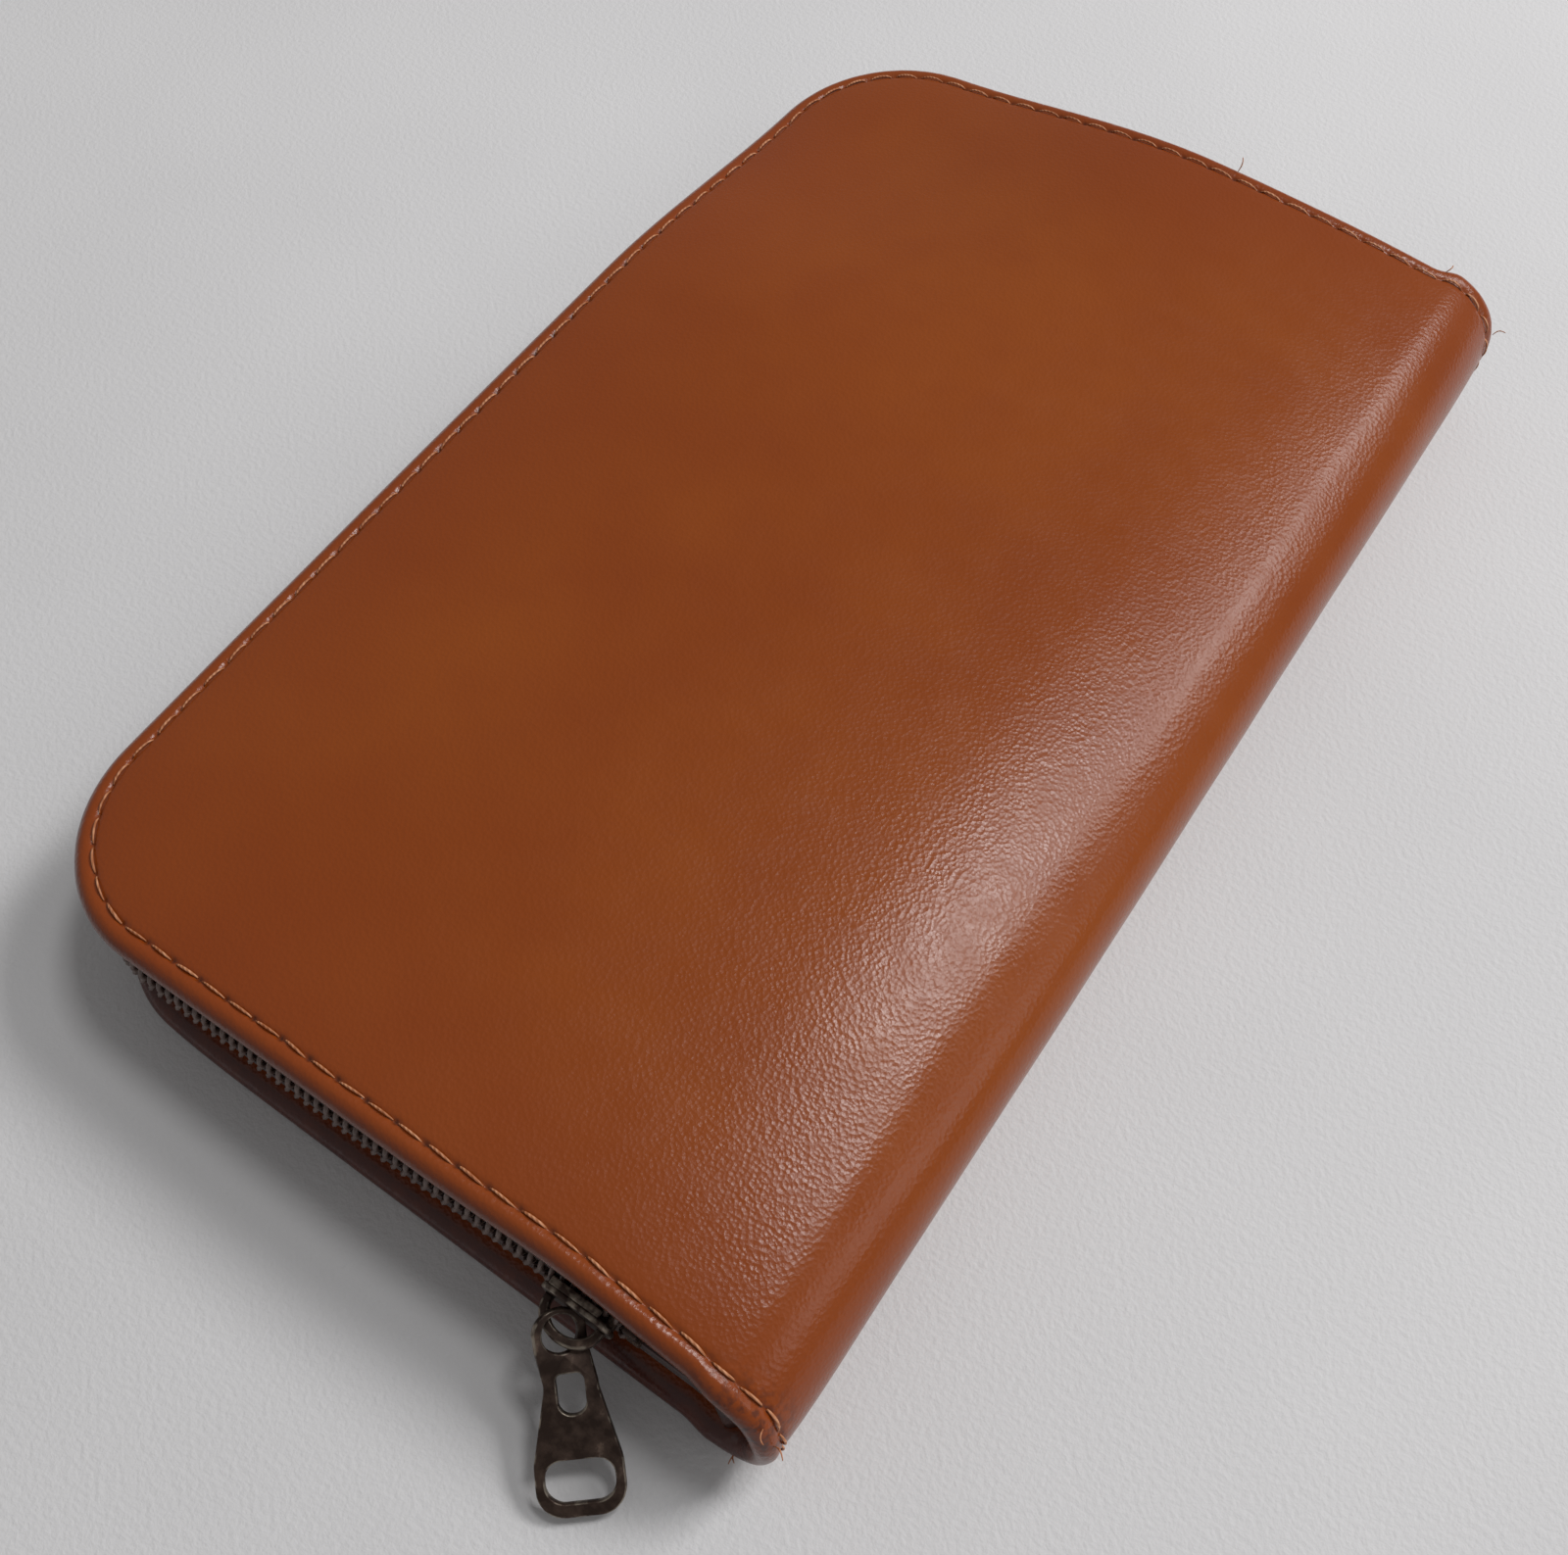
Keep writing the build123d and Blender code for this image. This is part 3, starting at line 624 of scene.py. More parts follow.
    # The painted shade of the stitch holes and of the rolled edge goes to the material.
    float_attribute(piece, "painted_hole_shade", painted_hole_shades)
    float_attribute(piece, "painted_edge_shade", painted_edge_shades)
    float_attribute(piece, "wear", wear_near_spine_end(points))
    tidy_mesh(piece, 2e-6)
    return piece


def wear_near_spine_end(points):
    """Where handling has darkened the leather: the near end of the spine, most of all its rim."""
    corner = np.array([roll_x + 4 * MM, -half_length, zip_z + 3 * MM])
    distance = np.linalg.norm((points - corner) / np.array([1.0, 0.8, 1.0]), axis=1)
    return 1 - smooth(2 * MM, 11 * MM, distance)


front_skin = cover_skin("front_skin", front_sheet, tan)
back_skin = cover_skin("back_skin", back_sheet, tan)


# ---- stitching ------------------------------------------------------------------------------------
def tube(path, normals, width, height, sides=8):
    """A closed tube with an oval section along a path; normals say which way its height points."""
    path, normals = np.array(path), np.array(normals)
    ahead = np.gradient(path, axis=0)
    ahead /= np.linalg.norm(ahead, axis=1)[:, None]
    across = np.cross(ahead, normals)
    across /= np.linalg.norm(across, axis=1)[:, None]
    up = np.cross(across, ahead)
    turns = np.linspace(0, 2 * math.pi, sides, endpoint=False)
    rings = []
    for number in range(len(path)):
        share = number / (len(path) - 1)
        taper = math.sin(math.pi * min(max(share, 0.04), 0.96)) ** 0.25
        wide = np.outer(np.cos(turns), across[number]) * width / 2
        tall = np.outer(np.sin(turns), up[number]) * height / 2
        rings.append(path[number] + taper * (wide + tall))
    points = np.concatenate(rings)
    faces = grid_faces(len(path), sides, wrap=True)
    faces.append(tuple(range(sides))[::-1])
    faces.append(tuple(range(len(points) - sides, len(points))))
    return points, faces


def joined(parts):
    """Several (points, faces) as one."""
    points, faces, start = [], [], 0
    for part_points, part_faces in parts:
        points.append(part_points)
        faces += [tuple(index + start for index in face) for face in part_faces]
        start += len(part_points)
    return np.concatenate(points), faces


def whisker(sheet, u, y, reach, chance):
    """A loose end of thread that has come out of the seam; reach says which way, in millimetres."""
    start = Vector(sheet.place(np.array([u]), np.array([y]), np.array([0.2 * MM]))[0])
    way = Vector(reach) * MM
    side = way.orthogonal().normalized() * way.length * chance.uniform(0.15, 0.3)
    path = [start + way * t + side * math.sin(math.pi * t) for t in np.linspace(0, 1, 9)]
    normals = [way.orthogonal().normalized()] * len(path)
    return tube(path, normals, 0.20 * MM, 0.16 * MM, 6)


def seam_stitches(name, sheet, seed, loose_ends):
    """One stitch between each pair of holes along a cover's rim, and the loose ends of thread."""
    chance = random.Random(seed)
    total = sheet.path_length(seam_inset)
    pitches = round(total / stitch_pitch)
    pitch = total / pitches
    parts = []
    for number in range(pitches):
        start, end = number * pitch, (number + 1) * pitch
        slant = chance.uniform(-0.10, 0.16) * MM
        reach = chance.uniform(0.38, 0.43)
        path, normals = [], []
        for share in np.linspace(-1, 1, 9):
            along = (start + end) / 2 + share * reach * pitch
            u, y = sheet.on_path(along, seam_inset, share * slant)
            lift = 0.12 - 0.42 * abs(share) ** 3
            point = sheet.place(np.array([u]), np.array([y]), np.array([(0.21 - lift) * MM]))[0]
            wave = undulation(sheet.place(np.array([u]), np.array([y]), np.zeros(1)))[0]
            _, _, normal_x, normal_z = sheet.profile(np.array([u]))
            normal = np.array([normal_x[0], 0, normal_z[0]])
            path.append(point - normal * wave)
            normals.append(normal)
        parts.append(tube(path, normals, stitch_wide * chance.uniform(0.85, 1.15), stitch_high))
    parts += [whisker(sheet, *place, chance) for place in loose_ends]
    points, faces = joined(parts)
    piece = make_piece(name, settle(points), faces, thread)
    tidy_mesh(piece, 1e-9)
    return piece


near_end, far_end = -half_length + 1.2 * MM, half_length - 1.2 * MM
front_stitches = seam_stitches("front_stitches", front_sheet, 4, [
    (crown_length + 11 * MM, near_end, (1.6, -0.9, 1.0)),
    (crown_length + 8 * MM, near_end, (0.9, -1.2, 0.2)),
    (crown_length + 12 * MM, far_end, (1.5, 0.4, 0.8)),
    (67 * MM, far_end, (-0.3, 1.4, 1.3)),
    (100 * MM, far_end, (0.4, 0.9, 0.5)),
])
back_stitches = seam_stitches("back_stitches", back_sheet, 7, [
    (back_end - 5 * MM, near_end, (-0.6, -1.9, -0.3)),
    (back_end - 6 * MM, near_end, (0.7, -1.5, 0.4)),
])


# ---- zip: tapes and coil --------------------------------------------------------------------------
zip_end_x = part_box("back_zip_tape")[1].x
slider_low, slider_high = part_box("slider_body")
stop_low, stop_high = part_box("back_zip_stops")


def zip_path(inset, near_end, far_end, step):
    """Points round the three free sides at an inset, from near_end to far_end, with the way outwards."""
    centre_x = free_x + corner_radius
    straight_y = half_length - corner_radius
    points, outward = [], []
    for x in spread(near_end, centre_x, step):
        points.append((x, inset - half_length))
        outward.append((0, -1))
    turns = spread(0, math.pi / 2, step / (corner_radius - inset))
    for turn in turns[1:-1]:
        u, y = round_corner(turn, inset)
        points.append((free_x + u, y))
        outward.append((-math.sin(turn), -math.cos(turn)))
    for y in spread(-straight_y, straight_y, step):
        points.append((free_x + inset, y))
        outward.append((-1, 0))
    for turn in turns[1:-1]:
        u, y = round_corner(turn, inset, far=True)
        points.append((free_x + u, y))
        outward.append((-math.cos(turn), math.sin(turn)))
    for x in spread(centre_x, far_end, step):
        points.append((x, half_length - inset))
        outward.append((0, 1))
    return np.array(points), np.array(outward)


def cover_inside(side, x, depth):
    """Height of a layer of the cover at a depth below its outside; side is 1 for the front."""
    if side < 0:
        return np.full(len(x), depth)
    reach = crown_radius - depth
    return crown_z + np.sqrt(reach ** 2 - (x - crown_x) ** 2)


def chain_bulge(spots):
    """How far the closed chain stands out on the -Y side, away from the slider."""
    return 0.3 * MM * smooth(16, -6, spots[:, 0] / MM) * smooth(-60, -80, spots[:, 1] / MM) + 0.1 * MM


def zip_tape(name, side):
    """Woven tape: sewn flat under the hem, then turned towards the chain."""
    path, outward = zip_path(zip_inset, zip_end_x, zip_end_x, 1.2 * MM)
    edge_z = zip_z + side * 1.7 * MM
    section = [(6.0, 0.0), (4.0, 0.0), (2.2, 0.0), (1.0, 0.01), (0.35, 0.06), (0.05, 0.2), (0.0, 0.45),
               (0.12, 0.7), (0.0, 0.88), (-0.05, 1.0)]
    rings = []
    for inwards, share in section:
        spots = path - outward * inwards * MM
        cover_z = cover_inside(side, spots[:, 0], cover_thick + 0.35 * MM)
        height = cover_z + (edge_z - cover_z) * share
        bulge = chain_bulge(spots)[:, None] * outward * share
        rings.append(np.column_stack([spots + bulge, height]))
    points = settle(np.concatenate(rings))
    piece = make_piece(name, points, grid_faces(len(section), len(path)), tape_cloth)
    tidy_mesh(piece, 1e-9)
    thicken(piece, 0.5 * MM)
    return piece


def zip_coil(name, side):
    """A nylon spiral along the tape's edge; its heads reach past the middle to mesh with the other row."""
    pitch = 1.45 * MM
    path, outward = zip_path(zip_inset, stop_low.x, stop_high.x - 9 * MM, pitch / 14)
    lengths = np.concatenate([[0], np.cumsum(np.hypot(*np.diff(path, axis=0).T))])
    turn = 2 * math.pi * lengths / pitch + (math.pi if side > 0 else 0)
    apart = smooth(slider_low.x - 1 * MM, slider_high.x - 2 * MM, path[:, 0])
    apart = apart * (path[:, 1] < 0)
    middle = (1.15 + 0.85 * apart) * MM
    high = 1.1 * MM
    thick = 0.7 * MM
    # The loop leans along the chain, so that from outside the two rows show as a herringbone.
    sway = np.cos(turn) * 0.30 * MM
    ahead = np.gradient(path, axis=0)
    ahead /= np.linalg.norm(ahead, axis=1)[:, None]
    reach_out = chain_bulge(path) + thick * np.sin(turn)
    spots = path + outward * reach_out[:, None] + ahead * (side * sway)[:, None]
    height = zip_z + side * (middle - high * np.cos(turn))
    centre = np.column_stack([spots, height])
    along = np.gradient(centre, axis=0)
    along /= np.linalg.norm(along, axis=1)[:, None]
    reference = np.column_stack([ahead, np.zeros(len(ahead))])
    first = np.cross(along, reference)
    first /= np.linalg.norm(first, axis=1)[:, None]
    second = np.cross(along, first)
    sides = 6
    turns = np.linspace(0, 2 * math.pi, sides, endpoint=False)
    wire = 0.36 * MM
    rings = (
        centre[:, None, :]
        + wire * np.cos(turns)[None, :, None] * first[:, None, :]
        + wire * np.sin(turns)[None, :, None] * second[:, None, :]
    )
    points = settle(rings.reshape(-1, 3))
    faces = grid_faces(len(centre), sides, wrap=True)
    faces.append(tuple(range(sides))[::-1])
    faces.append(tuple(range(len(points) - sides, len(points))))
    piece = make_piece(name, points, faces, nylon)
    return piece


back_tape = zip_tape("back_tape", -1)
front_tape = zip_tape("front_tape", 1)
back_coil = zip_coil("back_coil", -1)
front_coil = zip_coil("front_coil", 1)


# ---- slider and pull tab --------------------------------------------------------------------------
def rounded_outline(corners, steps=10):
    """A closed outline from (x, y, radius) corners, each rounded by an arc."""
    outline = []
    count = len(corners)
    for number in range(count):
        before = Vector(corners[number - 1][:2])
        corner = Vector(corners[number][:2])
        after = Vector(corners[(number + 1) % count][:2])
        radius = corners[number][2]
        to_before, to_after = (before - corner).normalized(), (after - corner).normalized()
        half = to_before.angle(to_after) / 2
        if radius == 0:
            outline.append(corner)
            continue
        reach = radius / math.tan(half)
        middle = corner + (to_before + to_after).normalized() * (radius / math.sin(half))
        start, end = corner + to_before * reach - middle, corner + to_after * reach - middle
        sweep = start.angle_signed(end)
        for share in np.linspace(0, 1, steps):
            turned = start.copy()
            turned.rotate(Matrix.Rotation(-sweep * share, 2))
            outline.append(middle + turned)
    return outline


def pressed_plate(outlines, thick, bevel, place):
    """A flat plate with holes and rounded edges, from outlines in millimetres; place puts its points."""
    curve = bpy.data.curves.new("outline", "CURVE")
    curve.dimensions = "2D"
    curve.fill_mode = "BOTH"
    curve.extrude = thick / 2 - bevel
    curve.bevel_depth = bevel
    curve.offset = -bevel
    curve.bevel_resolution = 3
    for outline in outlines:
        spline = curve.splines.new("POLY")
        spline.points.add(len(outline) - 1)
        for point, spot in zip(spline.points, outline):
            point.co = (spot[0] * MM, spot[1] * MM, 0, 1)
        spline.use_cyclic_u = True
    holder = bpy.data.objects.new("outline", curve)
    bpy.context.scene.collection.objects.link(holder)
    bpy.context.view_layer.update()
    graph = bpy.context.evaluated_depsgraph_get()
    mesh = bpy.data.meshes.new_from_object(holder.evaluated_get(graph))
    points = [tuple(place(vertex.co.copy())) for vertex in mesh.vertices]
    rim = [abs(abs(vertex.co.z) - thick / 2) > bevel * 0.02 for vertex in mesh.vertices]
    faces = [tuple(face.vertices) for face in mesh.polygons]
    bpy.data.objects.remove(holder)
    bpy.data.curves.remove(curve)
    bpy.data.meshes.remove(mesh)
    return np.array(points), faces, rim


def metal_piece(name, plates):
    """Joins pressed plates into one metal piece, with its worn rims marked."""
    points, faces = joined([plate[:2] for plate in plates])
    rims = np.concatenate([np.array(plate[2], float) for plate in plates])
    piece = make_piece(name, points, faces, metal)
    float_attribute(piece, "edge", rims)
    tidy_mesh(piece, 1e-8)
    crease_edges(piece, 40)
    return piece


def circle(x, y, radius, steps=40, clockwise=False):
    turns = np.linspace(0, 2 * math.pi, steps, endpoint=False)
    if clockwise:
        turns = -turns
    return [(x + radius * math.cos(t), y + radius * math.sin(t)) for t in turns]


tab_heading, tab_pitch, tab_twist = math.radians(41), math.radians(28), math.radians(24)
level = Vector((math.sin(tab_heading), -math.cos(tab_heading), 0))
down_tab = level * math.cos(tab_pitch) - Vector((0, 0, 1)) * math.sin(tab_pitch)
across_level = Vector((math.cos(tab_heading), math.sin(tab_heading), 0))
face_up = down_tab.cross(across_level)
tab_shift = Vector((1.0, 0, 0)) * MM


def tab_place(vertex):
    """A vertex of the flat tab, put on the bridge: the tab's neck is sprung, and flatter below the eye."""
    easing = float(smooth(0.5, 4.5, -vertex.y / MM))
    twist = tab_twist * (1 - easing) - math.radians(2) * easing
    across = across_level * math.cos(twist) - face_up * math.sin(twist)
    normal = down_tab.cross(across)
    return pull_pivot + tab_shift * easing - down_tab * vertex.y + across * vertex.x + normal * vertex.z


def pull_tab():
    """Keyhole pull: an eye on the bridge, a slot below it and a wide finger opening."""
    body = rounded_outline([
        (-2.95, 1.2, 1.0), (-2.9, -1.2, 2.0), (-2.9, -4.8, 4.0), (-4.75, -12.6, 4.0), (-4.85, -18.3, 3.0),
        (4.85, -18.3, 3.0), (4.75, -12.6, 4.0), (2.9, -4.8, 4.0), (2.9, -1.2, 2.0), (2.95, 1.2, 1.0),
    ])
    turns = np.linspace(math.radians(8), math.radians(172), 22)
    top = [(3.0 * math.cos(t), 0.4 + 2.6 * math.sin(t)) for t in turns]
    outline = [p for p in body if p[1] < 0.2] + top
    slot = rounded_outline([(-1.5, -3.4, 0.7), (1.5, -3.4, 0.7), (1.5, -7.6, 1.4), (-1.5, -7.6, 1.4)])
    finger = rounded_outline([(-3.7, -12.3, 1.9), (3.7, -12.3, 1.9), (3.8, -16.8, 2.1), (-3.8, -16.8, 2.1)])
    eye = circle(0, 0.35, 2.0)
    plate = pressed_plate([outline, eye, slot, finger], 0.9 * MM, 0.2 * MM, tab_place)
    return metal_piece("pull_tab_pressed", [plate])


def slider():
    """Zip slider: two plates with turned-in flanges, the dividing post and the arched bridge."""
    middle = (slider_low + slider_high) / 2
    length = (slider_high.x - slider_low.x) / MM
    near_y = pull_pivot.y + (2.8 + 0.8 + 1.4) * MM
    high = (slider_high.z - slider_low.z) / MM - 1.0
    plates = []
    upright = Matrix.Rotation(math.radians(90), 4, "X")
    outline = rounded_outline([
        (-length / 2, -high / 2 + 0.5, 1.8), (length / 2 - 1.2, -high / 2, 1.8), (length / 2, -high / 4, 1.6),
        (length / 2, high / 4, 1.6), (length / 2 - 1.2, high / 2, 1.8), (-length / 2, high / 2 - 0.5, 1.8),
    ])
    for side in (-1, 1):
        place = Matrix.Translation((middle.x, near_y + side * 1.8 * MM, zip_z)) @ upright
        plates.append(pressed_plate([outline], 0.8 * MM, 0.3 * MM, place.__matmul__))
        for edge in (-1, 1):
            flange = rounded_outline([
                (-length / 2 + 0.9, -0.4, 0.2), (length / 2 - 1.6, -0.4, 0.2),
                (length / 2 - 1.6, 0.4, 0.2), (-length / 2 + 0.9, 0.4, 0.2),
            ])
            flange_z = zip_z + edge * (high / 2 - 0.45) * MM
            place = Matrix.Translation((middle.x, near_y + side * 1.1 * MM, flange_z)) @ upright
            plates.append(pressed_plate([flange], 0.9 * MM, 0.15 * MM, place.__matmul__))
    post = rounded_outline([
        (-1.6, 0, 0.3), (0.6, -0.6, 0.2), (1.6, -0.5, 0.2), (1.6, 0.5, 0.2), (0.6, 0.6, 0.2),
    ])
    post_place = Matrix.Translation((slider_high.x - 1.7 * MM, near_y, zip_z)) @ upright
    plates.append(pressed_plate([post], 3.2 * MM, 0.1 * MM, post_place.__matmul__))
    plates.append(bridge(middle.x, near_y - 2.1 * MM))
    return metal_piece("zip_slider", plates)


def bridge(middle_x, foot_y):
    """The arch that the tab's eye goes round: a crescent strap, wider than it is thick."""
    crest = (pull_pivot.y - foot_y) / MM
    outer = [(3.9 * math.cos(t), (crest - 0.75) * math.sin(t) ** 0.8) for t in np.linspace(0, math.pi, 33)]
    inner = [(2.9 * math.cos(t), (crest + 0.35) * math.sin(t) ** 0.9) for t in np.linspace(math.pi, 0, 33)]
    outline = [(x, y - 0.1 if number in (0, 32) else y) for number, (x, y) in enumerate(outer)]
    outline += [(x, y) for x, y in inner]
    place = Matrix.Translation((middle_x, foot_y, zip_z))
    return pressed_plate([outline], 1.3 * MM, 0.3 * MM, place.__matmul__)


pull = pull_tab()
zip_slider = slider()


# ---- layers inside the covers ---------------------------------------------------------------------
def along_cover(sheet, x):
    """The distance u on a sheet's outside that belongs to an x, in metres."""
    if sheet.upper:
        return crown_radius * (math.asin((x - crown_x) / crown_radius) - crown_start)
    return x - free_x


def layer(name, sheet, start, end, low_y, high_y, corner, top, bottom, material):
    """A thin layer that follows a cover, from start to end in u, with two rounded corners at its start.

    top and bottom are its depths, as numbers or as functions of u, y and the distance in from the
    three sides away from the spine.
    """
    turns = np.linspace(0, math.pi / 2, 10)
    ends = corner * (1 - np.cos(turns))
    straight = spread(low_y + corner, high_y - corner, 3.5 * MM)[1:-1]
    rows = np.concatenate([low_y + ends, straight, (high_y - ends)[::-1]])
    columns = max(8, int((end - start) / (2.5 * MM)))
    reach = np.minimum(np.minimum(rows - low_y, high_y - rows), corner)
    left = start + corner - np.sqrt(np.maximum(corner ** 2 - (corner - reach) ** 2, 0))
    share = np.linspace(0, 1, columns)
    u = (left[:, None] + share[None, :] * (end - left[:, None])).ravel()
    y = np.repeat(rows, columns)
    inwards = np.minimum(np.minimum(y - low_y, high_y - y), u - start)
    faces = []
    points = []
    for number, depth in enumerate((top, bottom)):
        depth = depth(u, y, inwards) if callable(depth) else np.full(len(u), depth)
        points.append(sheet.place(u, y, depth))
        grid = grid_faces(len(rows), columns, start=number * len(u))
        faces += [face[::-1] for face in grid] if number else grid
    rim = list(range(columns)) + [row * columns + columns - 1 for row in range(1, len(rows))]
    rim += list(range(len(u) - 2, len(u) - columns - 1, -1))
    rim += [row * columns for row in range(len(rows) - 2, 0, -1)]
    for here, beside in zip(rim, rim[1:] + rim[:1]):
        faces.append((here, beside, beside + len(u), here + len(u)))
    piece = make_piece(name, settle(np.concatenate(points)), faces, material)
    tidy_mesh(piece, 1e-9)
    crease_edges(piece, 50)
    return piece


def board(name, sheet):
    """The stiff board just under the cover's leather."""
    reach = half_length - board_inset
    return layer(name, sheet, board_inset, along_cover(sheet, board_end_x), -reach, reach,
                 corner_radius - board_inset, board_high, board_low, board_grey)


def padding(name, sheet):
    """Foam, thinning towards its sides."""
    reach = half_length - pad_inset
    end = along_cover(sheet, board_end_x)

    def under(u, y, inwards):
        near_side = np.minimum(inwards, end - u)
        return (3.2 + 0.8 * smooth(0, 8 * MM, near_side)) * MM

    return layer(name, sheet, pad_inset, end, -reach, reach, corner_radius - pad_inset, pad_high, under, foam)


def lining(name, sheet):
    """Cloth over the padding and the hem, running on over the inside of the spine."""
    reach = half_length - lining_inset
    shoulder = along_cover(sheet, board_end_x)

    def at(depth):
        return lambda u, y, inwards: depth - 0.6 * MM * smooth(shoulder, shoulder + 6 * MM, u)

    piece = layer(name, sheet, lining_inset, sheet.end, -reach, reach, corner_radius - lining_inset,
                  at(lining_low), at(lining_high), lining_cloth)
    return piece


def pocket(name, sheet, start_x, mouth_x, low_y, high_y, lower, thick, room):
    """A leather pocket panel: sewn down along three sides, standing off by room at its mouth."""
    start, end = along_cover(sheet, start_x * MM), along_cover(sheet, mouth_x * MM)

    def above(u, y, inwards):
        return lower + room * smooth(1.8 * MM, 3.4 * MM, inwards)

    def under(u, y, inwards):
        sag = 0.10 * MM * np.sin(u / (17 * MM) + 1) * np.sin(y / (23 * MM))
        pressed = 0.18 * MM * np.exp(-((inwards - 1.5 * MM) / (0.5 * MM)) ** 2)
        return lower + room + thick - pressed - (0.12 * MM + sag) * smooth(0, 6 * MM, inwards)

    return layer(name, sheet, start, end, low_y * MM, high_y * MM, 3 * MM, above, under, pocket_tan)


def pocket_stitches(name, sheet, start_x, mouth_x, low_y, high_y, depth, seed):
    """Stitches along the three sewn sides of a pocket."""
    chance = random.Random(seed)
    inset, pitch = 1.5, 4.1
    corners = [(mouth_x, low_y + inset), (start_x + inset, low_y + inset),
               (start_x + inset, high_y - inset), (mouth_x, high_y - inset)]
    parts = []
    for (x0, y0), (x1, y1) in zip(corners, corners[1:]):
        length = math.hypot(x1 - x0, y1 - y0)
        count = int(length / pitch)
        for number in range(count):
            path = []
            for share in np.linspace(0.12, 0.84, 7):
                t = (number + share) / count
                x, y = x0 + (x1 - x0) * t, y0 + (y1 - y0) * t
                rise = (0.16 * math.sin(math.pi * (share - 0.12) / 0.72) - 0.08) * MM
                u = along_cover(sheet, x * MM)
                path.append(sheet.place(np.array([u]), np.array([y * MM]), np.array([depth + rise]))[0])
            normals = [np.array([0, 0, 1.0])] * len(path)
            parts.append(tube(path, normals, 0.42 * MM * chance.uniform(0.9, 1.1), 0.3 * MM, 6))
    points, faces = joined(parts)
    piece = make_piece(name, settle(points), faces, thread)
    tidy_mesh(piece, 1e-9)
    return piece


def gusset(name, end):
    """Thin leather gathered across one end of the spine; end is -1 or 1 along Y."""
    points = []
    rings, steps = 9, 41
    for ring in range(rings):
        radius = 6.3 * MM * ring / (rings - 1)
        for turn in np.linspace(math.radians(-78), math.radians(78), steps):
            fold = 0.55 * math.cos(6.5 * turn + 0.6) + 0.25 * math.sin(15 * turn)
            y = end * (half_length - 2.6 * MM + fold * MM * (0.25 + 0.75 * ring / (rings - 1)))
            points.append((roll_x + 0.4 * MM + radius * math.cos(turn), y, roll_z + radius * math.sin(turn)))
    piece = make_piece(name, settle(points), grid_faces(rings, steps), gusset_brown)
    tidy_mesh(piece, 1e-7)
    thicken(piece, 0.5 * MM)
    return piece


inside = []
for body, sheet in (("front", front_sheet), ("back", back_sheet)):
    for piece, node, slot in (
        (board(body + "_stiff_board", sheet), body + "_board", "stiff_board"),
        (padding(body + "_foam_pad", sheet), body + "_padding", "foam"),
    ):
        inside.append((piece, body, node, slot))
first = lining_high
second = lining_high + pocket_step
room = pocket_step - pocket_leather
panels = [
    ("ticket_pocket", "back", back_sheet, -46, 41, -81.5, 81.5, first, pocket_leather, room),
    ("passport_sleeve", "back", back_sheet, -46, 28, -67, 67, second, pocket_leather, room),
    ("slip_pocket", "front", front_sheet, -46, 41, -81.5, 81.5, first, pocket_leather, room),
]
for number, (start_x, mouth_x) in enumerate(((-22, 34), (-34, 22), (-46, 10), (-46, -2))):
    sizes = (start_x, mouth_x, -78, 14, second + number * card_leather, card_leather, 0.0)
    panels.append((f"card_slot_{number + 1}", "front", front_sheet, *sizes))
for node, body, sheet, *sizes in panels:
    inside.append((pocket(node + "_leather", sheet, *sizes), body, node, "pocket_leather"))
card_face = second + 4 * card_leather - 0.16 * MM
sleeve_face = second + pocket_step - 0.16 * MM
inside.append((pocket_stitches("card_slot_stitches", front_sheet, -46, -2, -78, 14, card_face, 3), "front",
               "card_slot_stitching", "thread"))
inside.append((pocket_stitches("sleeve_stitches", back_sheet, -46, 26, -67, 67, sleeve_face, 5), "back",
               "back_pocket_stitching", "thread"))
near_gusset, far_gusset = gusset("near_gusset", -1), gusset("far_gusset", 1)
front_lining, back_lining = lining("front_lining_cloth", front_sheet), lining("back_lining_cloth", back_sheet)


for piece, nodes in (
    (front_skin, ("front_leather", "spine_leather")), (front_stitches, ("front_edge_stitching",)),
    (front_lining, ("front_lining", "spine_lining")),
):
    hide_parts(*nodes)
    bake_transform(piece)
for piece, nodes in (
    (back_skin, ("back_leather",)), (back_stitches, ("back_edge_stitching", "spine_stitching")),
    (back_lining, ("back_lining",)),
):
    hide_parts(*nodes)
    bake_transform(piece)
for piece, body, node in (
    (back_tape, "back", "back_zip_tape"), (front_tape, "front", "front_zip_tape"),
    (back_coil, "back", "back_zip_coil"), (front_coil, "front", "front_zip_coil"),
    (zip_slider, "slider", "slider_body"), (pull, "pull", "pull_tab"),
):
    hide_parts(node)
    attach(piece, body)
for piece, body, node, slot in inside:
    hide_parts(node)
    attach(piece, body)
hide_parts("spine_gussets")
for piece in (near_gusset, far_gusset):
    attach(piece, "spine")

node_materials = {
    "stiff_board": board_grey, "foam": foam, "lining_cloth": lining_cloth, "pocket_leather": pocket_tan,
    "thread": thread, "antique_metal": metal, "tan_leather": tan, "zip_cloth": tape_cloth, "zip_nylon": nylon,
}
for entry in frame["record"]["subparts"]:
    node = frame["nodes"][entry["node"]]
    node.data.materials.clear()
    node.data.materials.append(node_materials[entry["material_slot"]])


# ---- floor, light, camera -------------------------------------------------------------------------
def floor_material():
    n = Nodes("pale_floor")
    base = n.mix(n.range(n.noise(12.0, 3.0), 0.3, 0.7), (0.610, 0.608, 0.616), (0.650, 0.648, 0.656))
    n.set(Base_Color=base, Roughness=0.9, Normal=n.bump(n.noise(1300.0, 3.0), 0.35, 0.0004))
    return n.material


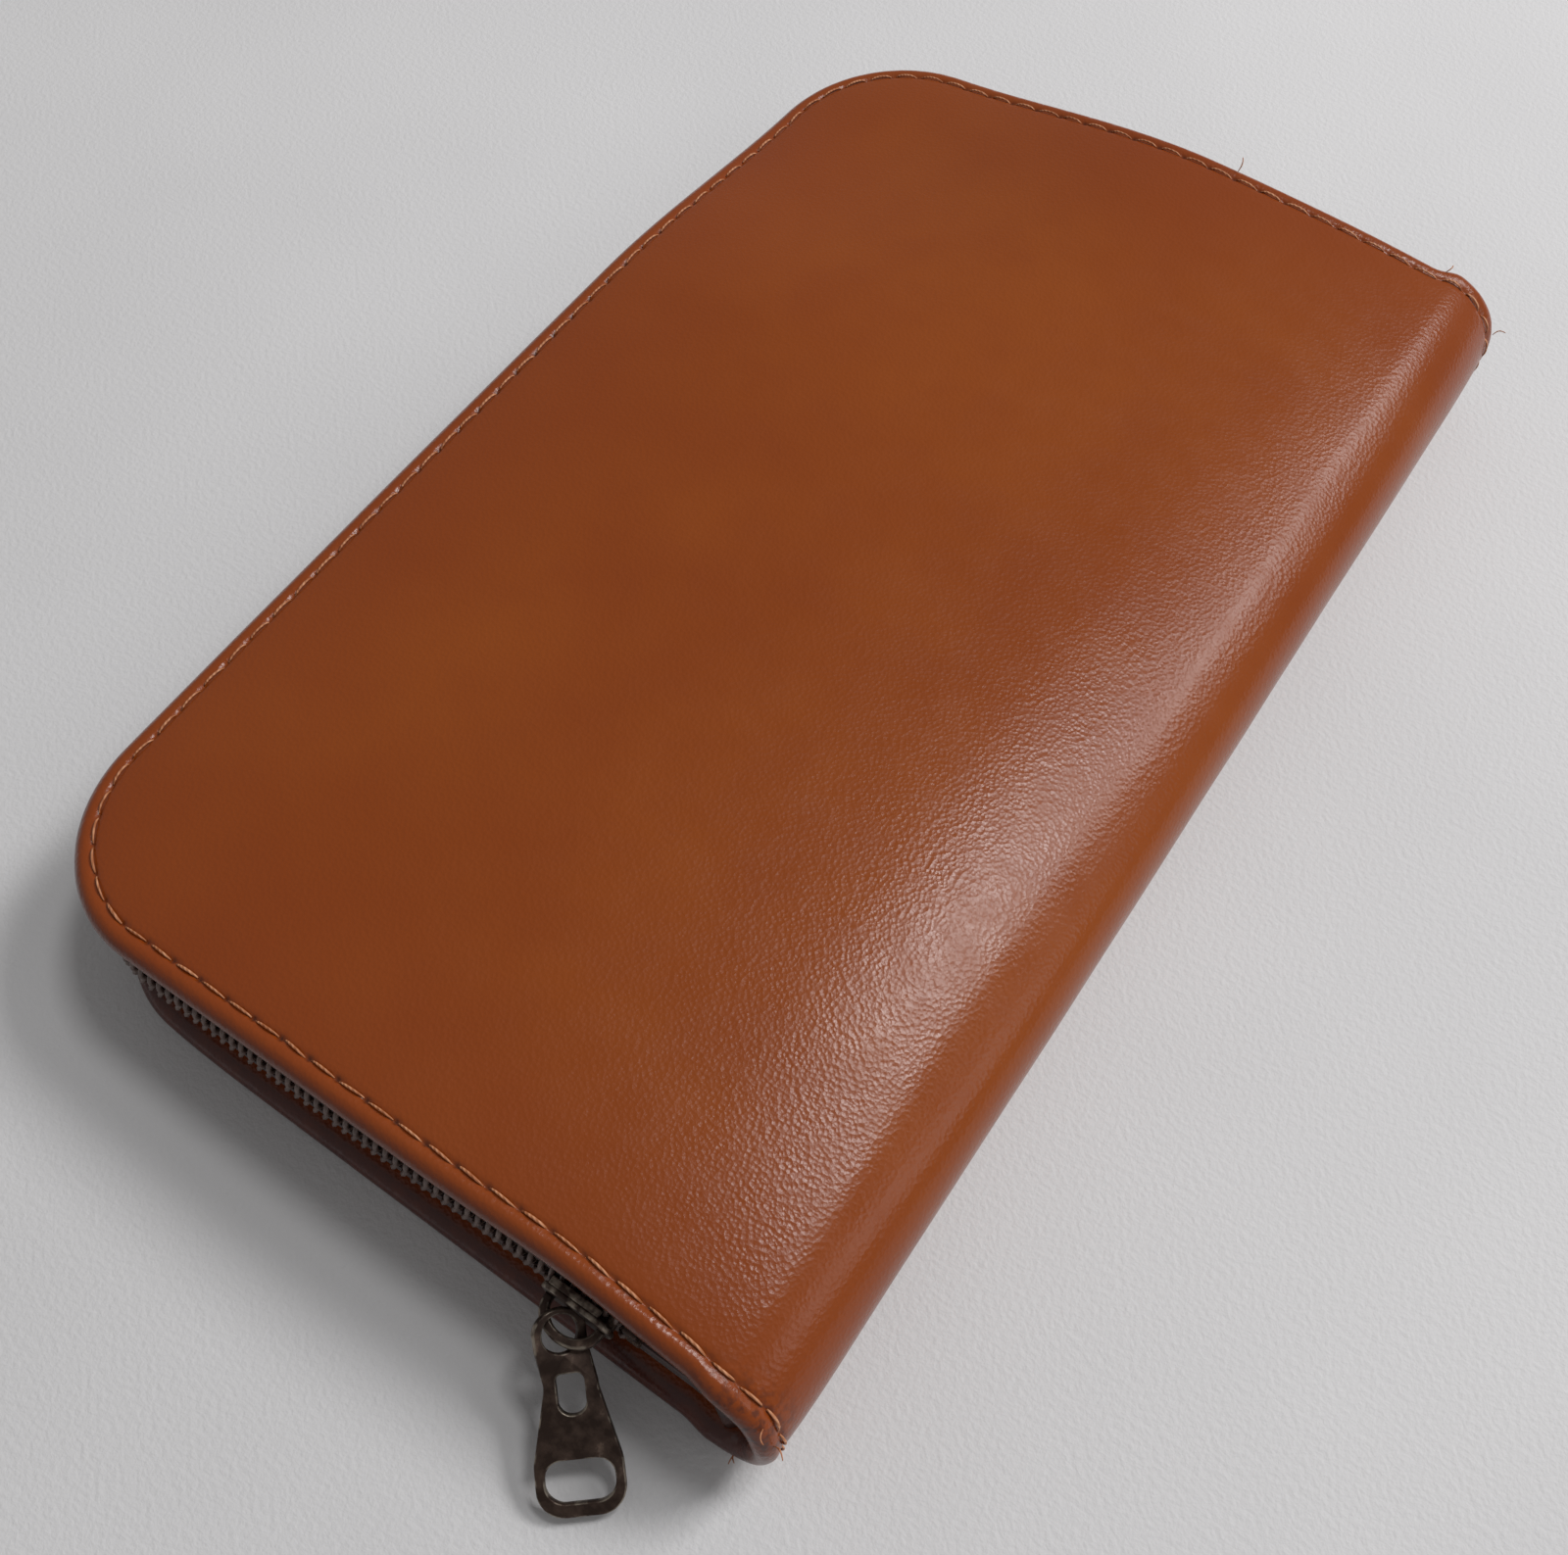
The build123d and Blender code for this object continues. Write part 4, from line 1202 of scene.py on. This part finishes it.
floor_mesh = bpy.data.meshes.new("floor")
reach = 3.0
corners = [(-reach, -reach, 0), (reach, -reach, 0), (reach, reach, 0), (-reach, reach, 0)]
floor_mesh.from_pydata(corners, [], [(0, 1, 2, 3)])
floor = bpy.data.objects.new("floor", floor_mesh)
bpy.context.scene.collection.objects.link(floor)
floor_mesh.materials.append(floor_material())


def area_light(name, direction, distance, size, power, colour=(1, 1, 1)):
    """A square soft light that looks at the object from a direction, in watts and metres."""
    data = bpy.data.lights.new(name, "AREA")
    data.energy = power
    data.size = size
    data.color = colour
    light = bpy.data.objects.new(name, data)
    bpy.context.scene.collection.objects.link(light)
    way = Vector(direction).normalized()
    light.location = way * distance
    light.rotation_mode = "QUATERNION"
    light.rotation_quaternion = way.to_track_quat("Z", "Y")
    return light


window = (0.37, 0.585, 0.72)
area_light("window", window, 1.3, 0.36, 3.2, (1.0, 0.99, 0.985))
# Most of the window's light leaves no highlight, so that its shadow is deep while the leather stays dark.
area_light("window_matte", window, 1.3, 0.36, 7.7, (1.0, 0.99, 0.985)).visible_glossy = False
area_light("lamp", (0.17, 0.34, 0.92), 1.6, 0.28, 5.6)
area_light("room", (0.80, 0.20, 0.56), 1.6, 0.6, 1.6)
world = bpy.data.worlds.new("studio")
world.use_nodes = True
world.node_tree.nodes["Background"].inputs["Color"].default_value = (1.0, 0.98, 0.97, 1)
world.node_tree.nodes["Background"].inputs["Strength"].default_value = 0.24
bpy.context.scene.world = world
bpy.context.scene.view_settings.view_transform = "Standard"

camera_azimuth, camera_elevation, camera_roll = math.radians(35.9), math.radians(61.4), math.radians(-1.5)
camera_place = Vector((67.6, -103.2, 188.4)) * MM
lens_per_width = 1661 / 1600
backward = Vector((
    math.sin(camera_azimuth) * math.cos(camera_elevation),
    -math.cos(camera_azimuth) * math.cos(camera_elevation),
    math.sin(camera_elevation),
))
right = (-backward).cross(Vector((0, 0, 1))).normalized()
up = right.cross(-backward)
turned_right = right * math.cos(camera_roll) + up * math.sin(camera_roll)
turned_up = up * math.cos(camera_roll) - right * math.sin(camera_roll)
camera_data = bpy.data.cameras.new("camera")
camera_data.sensor_width = 36.0
camera_data.lens = 36.0 * lens_per_width
camera_data.clip_start, camera_data.clip_end = 0.01, 20.0
camera = bpy.data.objects.new("camera", camera_data)
bpy.context.scene.collection.objects.link(camera)
camera.matrix_world = Matrix.Translation(camera_place) @ Matrix(
    (turned_right, turned_up, backward)
).transposed().to_4x4()
bpy.context.scene.camera = camera
